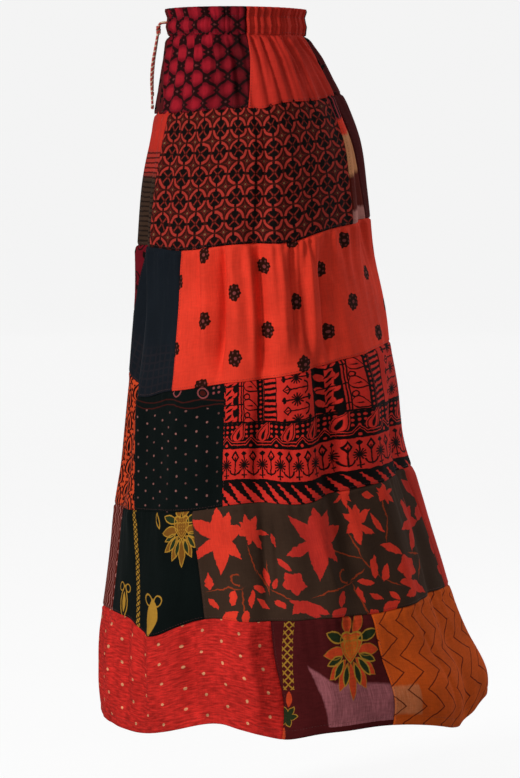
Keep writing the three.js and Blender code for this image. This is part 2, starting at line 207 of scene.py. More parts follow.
# Each tier hangs between two seams. Its gathers, as in the frame, are a count, a depth, the drop
# over which they rise, the drop over which they die away and what stays at the foot. Fine ones
# are a count, a depth and a reach. Cut is the width of its cloth before it was gathered.
TIERS = {
    "band": {"upper": "top", "lower": "band", "gathers": (60, 1.5, 0, 400, 1.2),
             "fine": (104, 2.5, 400), "cut": 950, "step": 1.9},
    "yoke": {"upper": "band", "lower": "yoke", "gathers": (40, 3.4, 8, 60, 1.5),
             "fine": (97, 2.1, 80), "cut": 1000, "step": 2.4},
    "hip": {"upper": "yoke", "lower": "hip", "gathers": (16, 1.2, 12, 60, 0.4),
            "fine": (71, 0.8, 24), "cut": 1180, "step": 2.8},
    "thigh": {"upper": "hip", "lower": "thigh", "gathers": (38, 2.6, 9, 42, 0.3),
              "fine": (89, 1.8, 42), "cut": 1330, "step": 2.8},
    "knee": {"upper": "thigh", "lower": "knee", "gathers": (14, 1.4, 12, 60, 0.4),
             "fine": (83, 0.8, 22), "cut": 1500, "step": 2.9},
    "shin": {"upper": "knee", "lower": "shin", "gathers": (16, 1.8, 12, 60, 0.5),
             "fine": (93, 0.9, 24), "cut": 1700, "step": 3.0},
    "hem": {"upper": "shin", "lower": "hem", "gathers": (14, 2.2, 12, 80, 1.2),
            "fine": (101, 1.1, 30), "cut": 1850, "step": 3.0},
}

# The band's cloth is pinched at its two rows of stitches: height and how far it stands out
BAND_SWELL = np.array([(18, 2.0), (6, -1.3), (-5, 1.6), (-16, -1.2)], dtype=float)

# The patches of each tier: the angle of the first edge at its top and at its foot, and the cloth
PATCHES = {
    "yoke": [
        (16, 18, "net_crimson"),
        (99, 89, "plain_scarlet"),
        (168, 166, "shadow_maroon"),
        (222, 224, "flower_brown"),
        (288, 286, "sprig_scarlet"),
        (336, 338, "shadow_maroon"),
    ],
    "hip": [
        (34, 30, "ring_trellis"),
        (147, 146, "sunset_tan"),
        (166, 168, "gilt_maroon"),
        (234, 231, "pin_dot_black"),
        (298, 300, "zigzag_ochre"),
        (346, 344, "striped_brown"),
    ],
    "thigh": [
        (15, -1, "plain_navy"),
        (51, 48, "sprig_scarlet"),
        (202, 206, "border_red"),
        (262, 260, "ring_trellis"),
        (322, 319, "scroll_pink"),
    ],
    "knee": [
        (25, 31, "pin_dot_black"),
        (73, 73, "border_red"),
        (192, 190, "plain_navy"),
        (250, 252, "dot_red"),
        (316, 314, "paisley_orange"),
    ],
    "shin": [
        (16, 17, "gilt_black"),
        (61, 65, "flower_brown"),
        (168, 171, "plain_scarlet"),
        (230, 228, "scroll_pink"),
        (290, 293, "net_crimson"),
        (338, 336, "zigzag_maroon"),
    ],
    "hem": [
        (87.5, 87, "gilt_maroon"),
        (122, 120, "zigzag_ochre"),
        (196, 198, "gilt_black"),
        (262, 260, "paisley_orange"),
        (330, 332, "dot_red"),
    ],
}

# How far the print of a patch is moved on its cloth, where it wasn't cut at the print's start
CUT_AT = {("hip", 2): (200, 130), ("yoke", 3): (40, 20), ("knee", 3): (9, 5), ("shin", 3): (12, 20)}

# How far a tier goes under the one above, and how far stitches run beside a seam and stand proud
LAP = 3.4
BESIDE = 3
PROUD = 0.05
STITCH_SEED = 7

# The band is cut from the same cloths as the tier below it
PATCHES["band"] = [(start, start, cloth) for start, foot, cloth in PATCHES["yoke"]]

# Drawstring: it leaves the band on both sides of the centre front, is tied and hangs
CORD = 3
CORD_LEFT = [
    (12.5, -86.45, 1),
    (12, -90, 0.9),
    (9, -94, 0.4),
    (4.4, -96.8, -2),
    (2.2, -97.8, -8),
    (2.6, -99.6, -18),
    (3.6, -102.2, -32),
    (4.6, -105.4, -50),
    (5, -106.8, -70),
    (4.6, -106, -88),
    (4.2, -105.5, -100),
]
CORD_RIGHT = [
    (-12.5, -86.35, 1),
    (-12, -90, 0.9),
    (-9, -94, 0.4),
    (-4.4, -96.8, -2),
    (-2.2, -97.8, -8),
    (-3, -99.2, -18),
    (-4.8, -101.4, -32),
    (-7, -103.8, -48),
    (-8.6, -105.4, -68),
    (-9.2, -105.6, -84),
]
KNOT = (0, -97.9, -8)

# Dyes, prints, threads and painted light: colour and what it is
PALETTE = {
    "ink": ("#120c0b", "black of the block prints"),
    "night": ("#0b1110", "black cotton"),
    "navy": ("#161b21", "dark blue cotton"),
    "scarlet": ("#e23c29", "orange-red cotton"),
    # Partly painted shade: the plain cotton's red is deepened to stand for shade that falls on it
    "brick": ("#bd2f24", "deeper red of the plain cotton"),
    "poppy": ("#cf2f26", "red of the printed borders"),
    "petal": ("#bd2f27", "red of the printed flowers"),
    "rust": ("#9c3a1c", "orange-brown of their stems"),
    "gauze": ("#d2302a", "red gauze"),
    "ember": ("#a8332a", "red rings on black"),
    "liver": ("#39120d", "dark red-brown under the rings"),
    "crimson": ("#6e101c", "blue-red cotton of the net print"),
    "wine_red": ("#b8202e", "brighter middle of the net's cells"),
    "rose": ("#c8434c", "light red in the middle of printed cells"),
    "maroon": ("#501819", "dark wine voile"),
    "brown": ("#3c2b21", "brown ground of the flowers"),
    "bark": ("#5a1a12", "red-brown of sprigs and fine lines"),
    "soot": ("#2c120a", "brown-black of the sprigs"),
    "ochre": ("#d2591c", "burnt orange cotton"),
    "orange": ("#c94624", "orange cotton"),
    "tan": ("#d08c60", "tan of the faded bands"),
    "dusk": ("#8e4444", "dull pink of rings and specks"),
    "blush": ("#b87a72", "pinkish dots and lines"),
    "gold": ("#b0822e", "printed gold"),
    "amber": ("#cf6420", "deep orange of the printed lotus"),
    "cream": ("#efc48e", "cream dots"),
    "moss": ("#7d501c", "brown-gold of the small gold flower"),
    "leaf": ("#27321c", "dark green of printed leaves"),
    # Painted light: the pinker wine that the voile shows where light comes through it
    "haze": ("#b0686e", "wine voile where light comes through"),
    "thread": ("#5c1a16", "sewing thread"),
    "cord_red": ("#a8362a", "red strand of the drawstring"),
    "cord_pale": ("#cdb49a", "undyed strand of the drawstring"),
}


def linear(colour):
    """A hex colour in the linear values that shaders and properties use"""
    channels = [int(colour[i:i + 2], 16) / 255 for i in (1, 3, 5)]
    return tuple(c / 12.92 if c <= 0.04045 else ((c + 0.055) / 1.055) ** 2.4 for c in channels)


def turn(a, b):
    """A difference of two angles in degrees, from -180 to 180"""
    return (a - b + 180) % 360 - 180


def smooth(t):
    """0 up to t = 0, then a soft rise to 1 at t = 1"""
    t = np.clip(t, 0, 1)
    return t * t * (3 - 2 * t)


def outline_at(column, z):
    """One column of the outline at heights z, as a smooth curve through its rows"""
    heights, values = OUTLINE[:, 0], OUTLINE[:, column]
    last = len(heights) - 1
    z = np.clip(z, heights[-1], heights[0])
    i = np.clip(np.searchsorted(-heights, -z, side="right") - 1, 0, last - 1)
    before = np.maximum(np.arange(last + 1) - 1, 0)
    after = np.minimum(np.arange(last + 1) + 1, last)
    slopes = (values[after] - values[before]) / (heights[after] - heights[before])
    span = heights[i + 1] - heights[i]
    t = (z - heights[i]) / span
    start = (2 * t ** 3 - 3 * t ** 2 + 1) * values[i] + (t ** 3 - 2 * t ** 2 + t) * slopes[i] * span
    end = (3 * t ** 2 - 2 * t ** 3) * values[i + 1] + (t ** 3 - t ** 2) * slopes[i + 1] * span
    return start + end


def seam_height(seam, angle):
    """Height of a seam or free edge all round, with the rises where folds carry it"""
    front, left, back, right = SEAMS[seam]
    a = np.radians(angle)
    z = (front + left + back + right) / 4 + (front - back) / 2 * np.cos(a)
    z = z + (left - right) / 2 * np.sin(a) + (front + back - left - right) / 4 * np.cos(2 * a)
    for middle, spread, rise in SWAYS.get(seam, []):
        z = z + rise * np.exp(-((turn(angle, middle) / spread) ** 2))
    return z


def fold_depth(angle, z):
    """How far the large folds push the cloth out"""
    depth = np.zeros_like(z)
    for top, foot, spread, push, upper, lower in FOLDS:
        along = np.clip((upper - z) / (upper - lower), 0, 1)
        fade = smooth((upper - z) / FOLD_FADE) * smooth((z - lower) / FOLD_FADE)
        middle = top + (foot - top) * along
        depth += push * fade * np.exp(-((turn(angle, middle) / spread) ** 2))
    return depth


def crease_depth(angle, z):
    """How far the narrow creases push the cloth out, each along its own line"""
    depth = np.zeros_like(z)
    for first, upper, second, lower, width, push in CREASES:
        middle = (upper + lower) / 2
        degree = math.radians(outline_at(LEFT, middle) + outline_at(FRONT, middle)) / 2
        run = np.array([(second - first) * degree, lower - upper])
        x, y = turn(angle, first) * degree, z - upper
        t = (x * run[0] + y * run[1]) / (run @ run)
        away = (x - np.clip(t, 0, 1) * run[0]) ** 2 + (y - np.clip(t, 0, 1) * run[1]) ** 2
        fade = smooth(t / 0.3) * smooth((1 - t) / 0.3)
        depth += push * fade * np.exp(-away / width ** 2)
    return depth


def gather_depth(tier, angle, drop):
    """The frame's gathers and the finer ones between them, uneven in spacing and height"""
    count, depth, rise, reach, foot = TIERS[tier]["gathers"]
    a = np.radians(angle)
    uneven = 0.9 * np.sin(3 * a + count) + 0.7 * np.sin(7 * a) + 0.5 * np.sin(13 * a)
    drop = np.maximum(drop, 0)
    height = depth * np.exp(-drop / reach) * (smooth(drop / rise) if rise else 1)
    large = np.maximum(height, foot * smooth(drop / 20)) * np.cos(count * a + uneven)
    count, depth, reach = TIERS[tier]["fine"]
    strength = 0.62 + 0.38 * np.sin(5 * a + count) * np.sin(11 * a + 2)
    length = reach * (0.75 + 0.5 * np.sin(17 * a + count) ** 2)
    fine = depth * strength * np.exp(-drop / length) * smooth(drop / 3)
    return large + fine * np.cos(count * a + 1.6 * np.sin(6 * a + 1) + 1.1 * np.sin(19 * a))


def cloth_point(angle, z, push):
    """A point pushed out from the outline, and so from the middle of the wearer"""
    a = np.radians(angle)
    front, back = outline_at(FRONT, z), outline_at(BACK, z)
    wide = np.where(np.sin(a) >= 0, outline_at(LEFT, z), outline_at(RIGHT, z))
    deep = (front + back) / 2
    across, along = np.sin(a) / wide, -np.cos(a) / deep
    size = np.hypot(across, along)
    x = wide * np.sin(a) + across / size * push
    y = (back - front) / 2 - deep * np.cos(a) + along / size * push
    return np.stack([x, y, z], axis=-1) / 1000


def cloth_push(tier, angle, z, side):
    """How far the cloth of a tier stands out; side is the distance in mm to the patch's edge"""
    upper = seam_height(TIERS[tier]["upper"], angle)
    lower = seam_height(TIERS[tier]["lower"], angle)
    a = np.radians(angle)
    push = fold_depth(angle, z) + crease_depth(angle, z) + gather_depth(tier, angle, upper - z)
    push = push + 0.5 * np.sin(9 * a + z / 61) + 0.35 * np.sin(26 * a - z / 33)
    push = push + 0.25 * np.sin(47 * a + z / 21 + 2 * np.sin(5 * a))
    push = push - 0.9 * (1 - smooth(side / 2.6))
    if tier == "band":
        push = push + np.interp(z, BAND_SWELL[::-1, 0], BAND_SWELL[::-1, 1])
    else:
        push = push - 1.7 * (1 - smooth((upper - z) / 3.6))
    if tier == "hem":
        rise = z - lower
        push = push - 0.5 * np.exp(-((rise - 10) / 1.5) ** 2) - 0.4 * (1 - smooth(rise / 1.5))
    else:
        push = push - 0.7 * (1 - smooth((z - lower) / 3))
    return push


def spread(length, step, edges=(0.0, 0.8, 1.7, 2.8, 4.2)):
    """Places along a length, close together near both ends and about a step apart between"""
    inner = np.linspace(edges[-1], length - edges[-1], max(2, round(length / step)))
    return np.concatenate([edges[:-1], inner, length - np.array(edges[:-1])[::-1]])


def face_share(angle):
    """How much of its depth the cloth uses up on each side. On the wearer's left and right it
    hangs in flat folds, where a print isn't narrowed as it goes round."""
    return 1 - 0.5 * np.abs(np.sin(np.radians(np.mean(angle))))


def patch_surface(tier, number):
    """The grid of points of one patch and each point's place on the flat cloth, in metres"""
    patches = PATCHES[tier]
    start, start_foot = patches[number][:2]
    end, end_foot = patches[(number + 1) % len(patches)][:2]
    if number + 1 == len(patches):
        end, end_foot = end + 360, end_foot + 360
    step = TIERS[tier]["step"]
    share = 0.6
    samples = np.linspace(0, 1, 400)
    middle = start + (start_foot - start) * share
    angle = middle + (end + (end_foot - end) * share - middle) * samples
    upper = seam_height(TIERS[tier]["upper"], angle)
    z = upper + (seam_height(TIERS[tier]["lower"], angle) - upper) * share
    line = cloth_point(angle, z, fold_depth(angle, z))
    pieces = np.diff(line, axis=0) * 1000
    lengths = np.linalg.norm(pieces, axis=1)
    walked = np.concatenate([[0], np.cumsum(lengths)])
    printed = np.concatenate([[0], np.cumsum(np.hypot(pieces[:, 1], pieces[:, 0] * face_share(angle)))])
    width = walked[-1]
    across = spread(width, step)
    share_across = np.interp(across, walked, samples)
    height = float(np.mean(upper - seam_height(TIERS[tier]["lower"], angle)))

    # Each row: its share of the way down, how far it goes past the seam, how far in and its
    # place on the cloth. Free edges are turned inwards, and others go under the tier above.
    down = spread(height, step)
    rows = [(drop / height, 0, 0, drop) for drop in down]
    if tier == "band":
        inside = [(drop / height, 0, -2.7, -drop - 2) for drop in down[::-1]]
        rows = inside + [(0, 0.5, -1.6, -1), (0, 0.5, -0.9, -0.5)] + rows
    else:
        rows = [(0, LAP, -0.05, -LAP), (0, LAP / 2, 0, -LAP / 2)] + rows
    if tier == "hem":
        rows += [(1, -0.5, -0.5, height + 0.5), (1, -0.5, -1.2, height + 1)]
        rows += [(1 - rise / height, 0, -1.9, height + 2 + rise) for rise in (1, 3, 5, 7, 9.5)]
    share, past, inward, along = (np.array(column)[:, None] for column in zip(*rows))
    left = start + (start_foot - start) * share
    angle = left + (end + (end_foot - end) * share - left) * share_across
    upper = seam_height(TIERS[tier]["upper"], angle)
    z = upper + (seam_height(TIERS[tier]["lower"], angle) - upper) * share + past
    side = np.minimum(across, width - across)[None, :] + 0 * z
    push = cloth_push(tier, angle, z, side) + inward
    points = cloth_point(angle, z, push)
    right, lower = CUT_AT.get((tier, number), (0, 0))
    flat = np.stack([np.interp(across, walked, printed) + right + 0 * z, along + lower + 0 * z], axis=-1)
    flat = flat / 1000
    return points, flat, (width, height)


def grid_object(name, points, flat):
    """A mesh of four-sided faces on a grid of points, with a UV map in metres of cloth"""
    rows, columns = points.shape[:2]
    index = np.arange(rows * columns).reshape(rows, columns)
    faces = np.stack([index[:-1, :-1], index[1:, :-1], index[1:, 1:], index[:-1, 1:]], axis=-1)
    mesh = bpy.data.meshes.new(name)
    mesh.from_pydata(points.reshape(-1, 3).tolist(), [], faces.reshape(-1, 4).tolist())
    layer = mesh.uv_layers.new(name="flat")
    layer.data.foreach_set("uv", flat.reshape(-1, 2)[faces.reshape(-1)].reshape(-1))
    mesh.shade_smooth()
    thing = bpy.data.objects.new(name, mesh)
    bpy.context.scene.collection.objects.link(thing)
    return thing


def add(tree, kind, inputs=(), **settings):
    """Adds one node with its settings; inputs are values or links, by place or by name"""
    node = tree.nodes.new(kind)
    for name, setting in settings.items():
        setattr(node, name, setting)
    pairs = inputs.items() if isinstance(inputs, dict) else enumerate(inputs)
    for key, given in pairs:
        if isinstance(given, bpy.types.NodeSocket):
            tree.links.new(given, node.inputs[key])
        else:
            node.inputs[key].default_value = given
    return node


# What the words and signs of a print's formula mean, and the number of values each takes
SIGNS = {ast.Add: "ADD", ast.Sub: "SUBTRACT", ast.Mult: "MULTIPLY", ast.Div: "DIVIDE"}
WORDS = {
    "abs": "ABSOLUTE", "sin": "SINE", "cos": "COSINE", "floor": "FLOOR", "frac": "FRACT",
    "sqrt": "SQRT", "power": "POWER", "min": "MINIMUM", "max": "MAXIMUM", "atan": "ARCTAN2",
    "swing": "PINGPONG", "below": "LESS_THAN", "above": "GREATER_THAN",
}
EDGE = 0.7


def formula(tree, text, known):
    """Adds the nodes of a print's formula. Each line names a value, in mm on the cloth. cell(x, w)
    is the distance from the middle of the nearest cell of width w, size(x, y) a distance in the
    plane, and ink(d) is 1 where a distance d is under 0 and 0 outside, with a soft edge.
    point(x, y) is a place, and leaf(place, x, y, length, half width, angle) the distance from a
    place to the edge of a pointed leaf that starts at x, y."""
    def value(term):
        if isinstance(term, ast.Constant):
            return float(term.value)
        if isinstance(term, ast.Name):
            return known[term.id]
        if isinstance(term, ast.UnaryOp):
            term = ast.BinOp(ast.Constant(-1), ast.Mult(), term.operand)
        if isinstance(term, ast.BinOp):
            kind = SIGNS[type(term.op)]
            given = (value(term.left), value(term.right))
        else:
            kind = term.func.id
            given = tuple(value(part) for part in term.args)
        if kind in SIGNS.values() and all(isinstance(part, float) for part in given):
            a, b = given
            return {"ADD": a + b, "SUBTRACT": a - b, "MULTIPLY": a * b, "DIVIDE": a / (b or 1)}[kind]
        if kind == "cell":
            half = given[1] / 2
            return add(tree, "ShaderNodeMath", (given[0], half, -half), operation="WRAP").outputs[0]
        if kind == "size":
            arrow = add(tree, "ShaderNodeCombineXYZ", given)
            return add(tree, "ShaderNodeVectorMath", (arrow.outputs[0],), operation="LENGTH").outputs[1]
        if kind == "point":
            return add(tree, "ShaderNodeCombineXYZ", given).outputs[0]
        if kind == "leaf":
            spot, x, y, length, width, angle = given
            c, s = math.cos(math.radians(angle)), math.sin(math.radians(angle))
            ways = {"down": (c / length, s / length), "beside": (-s / (4 * width), c / (4 * width))}
            for name, (right, lower) in ways.items():
                given = (spot, (right, lower, 0))
                away = add(tree, "ShaderNodeVectorMath", given, operation="DOT_PRODUCT").outputs[1]
                known[name] = add(tree, "ShaderNodeMath", (away, -x * right - y * lower)).outputs[0]
            known["wide"] = 4.0 * width
            return value(ast.parse("(abs(beside) - down * (1 - down)) * wide", mode="eval").body)
        if kind == "ink":
            given = (given[0], -1 / EDGE, 0.5)
            node = add(tree, "ShaderNodeMath", given, operation="MULTIPLY_ADD", use_clamp=True)
            return node.outputs[0]
        return add(tree, "ShaderNodeMath", given, operation=WORDS.get(kind, kind)).outputs[0]

    for line in ast.parse(text).body:
        known[line.targets[0].id] = value(line.value)
    return known


def leaf_lines(name, rows):
    """Formula lines for printed leaves, given as place, length, half width and angle"""
    lines = ["spot = point(x, y)", f"{name} = 99"]
    for row in rows:
        lines.append(f"{name} = min({name}, leaf(spot, {', '.join(str(part) for part in row)}))")
    return "\n".join(lines) + "\n"


def petal_rows(x, y, radius, tilt=0, side=1):
    """Leaves that make one lily: seven pointed petals, no two alike; side -1 mirrors it"""
    petals = [(-95, 1.0, 0.25), (-64, 0.9, 0.2), (-140, 1.1, 0.22), (152, 1.15, 0.17),
              (96, 1.15, 0.26), (50, 0.85, 0.2), (-22, 0.8, 0.26)]
    rows = []
    for angle, length, width in petals:
        turned = math.radians(angle + tilt)
        c, s = math.cos(turned) * side, math.sin(turned)
        rows.append((round(x - 0.36 * radius * c, 1), round(y - 0.36 * radius * s, 1),
                     round((length + 0.36) * radius, 1), round(width * radius, 1),
                     round(math.degrees(math.atan2(s, c)), 1)))
    return rows


def bloom_lines(name, rows):
    """Formula lines for printed flowers: place, radius, petals, angle and how deep they are cut"""
    lines = [f"{name} = 99"]
    for x, y, radius, petals, angle, cut in rows:
        wide = 2 * math.pi / petals
        lines += [
            f"r = size(x - {x}, y - {y})",
            f"k = cell(atan(y - {y}, x - {x}) - {math.radians(angle):.4f}, {wide:.4f})",
            f"t = power(1 - abs(k) * {2 / wide:.4f}, 0.8)",
            f"{name} = min({name}, r - {radius} * ({1 - cut} + {cut} * t))",
        ]
    return "\n".join(lines) + "\n"


# One half of a lotus, mirrored at x = 0: pointed petals and leaves round a heart
LOTUS = leaf_lines("petal", [
    (4, 22, 30, 7, -72), (8, 40, 34, 7.5, 4), (8, 50, 34, 7, 38), (4, 54, 36, 7, 62),
    (0, 54, 44, 6, 90)]) + leaf_lines("green", [
        (10, 28, 32, 6, -18), (14, 46, 24, 4.5, 22), (12, 50, 26, 4.5, 54), (6, 56, 26, 4.5, 76)]) + """
heart = size(x, y - 38 + x * 0.6) - 16.5
pip = size(x, y - 40 + x * 0.6) - 10
seeds = ink(size(cell(x, 5), cell(y + x, 5)) - 0.9)
orange = max(ink(petal), ink(heart))
core = ink(heart + 2.5)
outline = max(max(ink(abs(green) - 0.9), ink(abs(heart) - 0.9)), ink(abs(petal) - 0.6) * 0.6)
outline = max(outline, max(ink(abs(pip) - 0.7), seeds * core) * 0.8)
leaves = ink(green)
"""

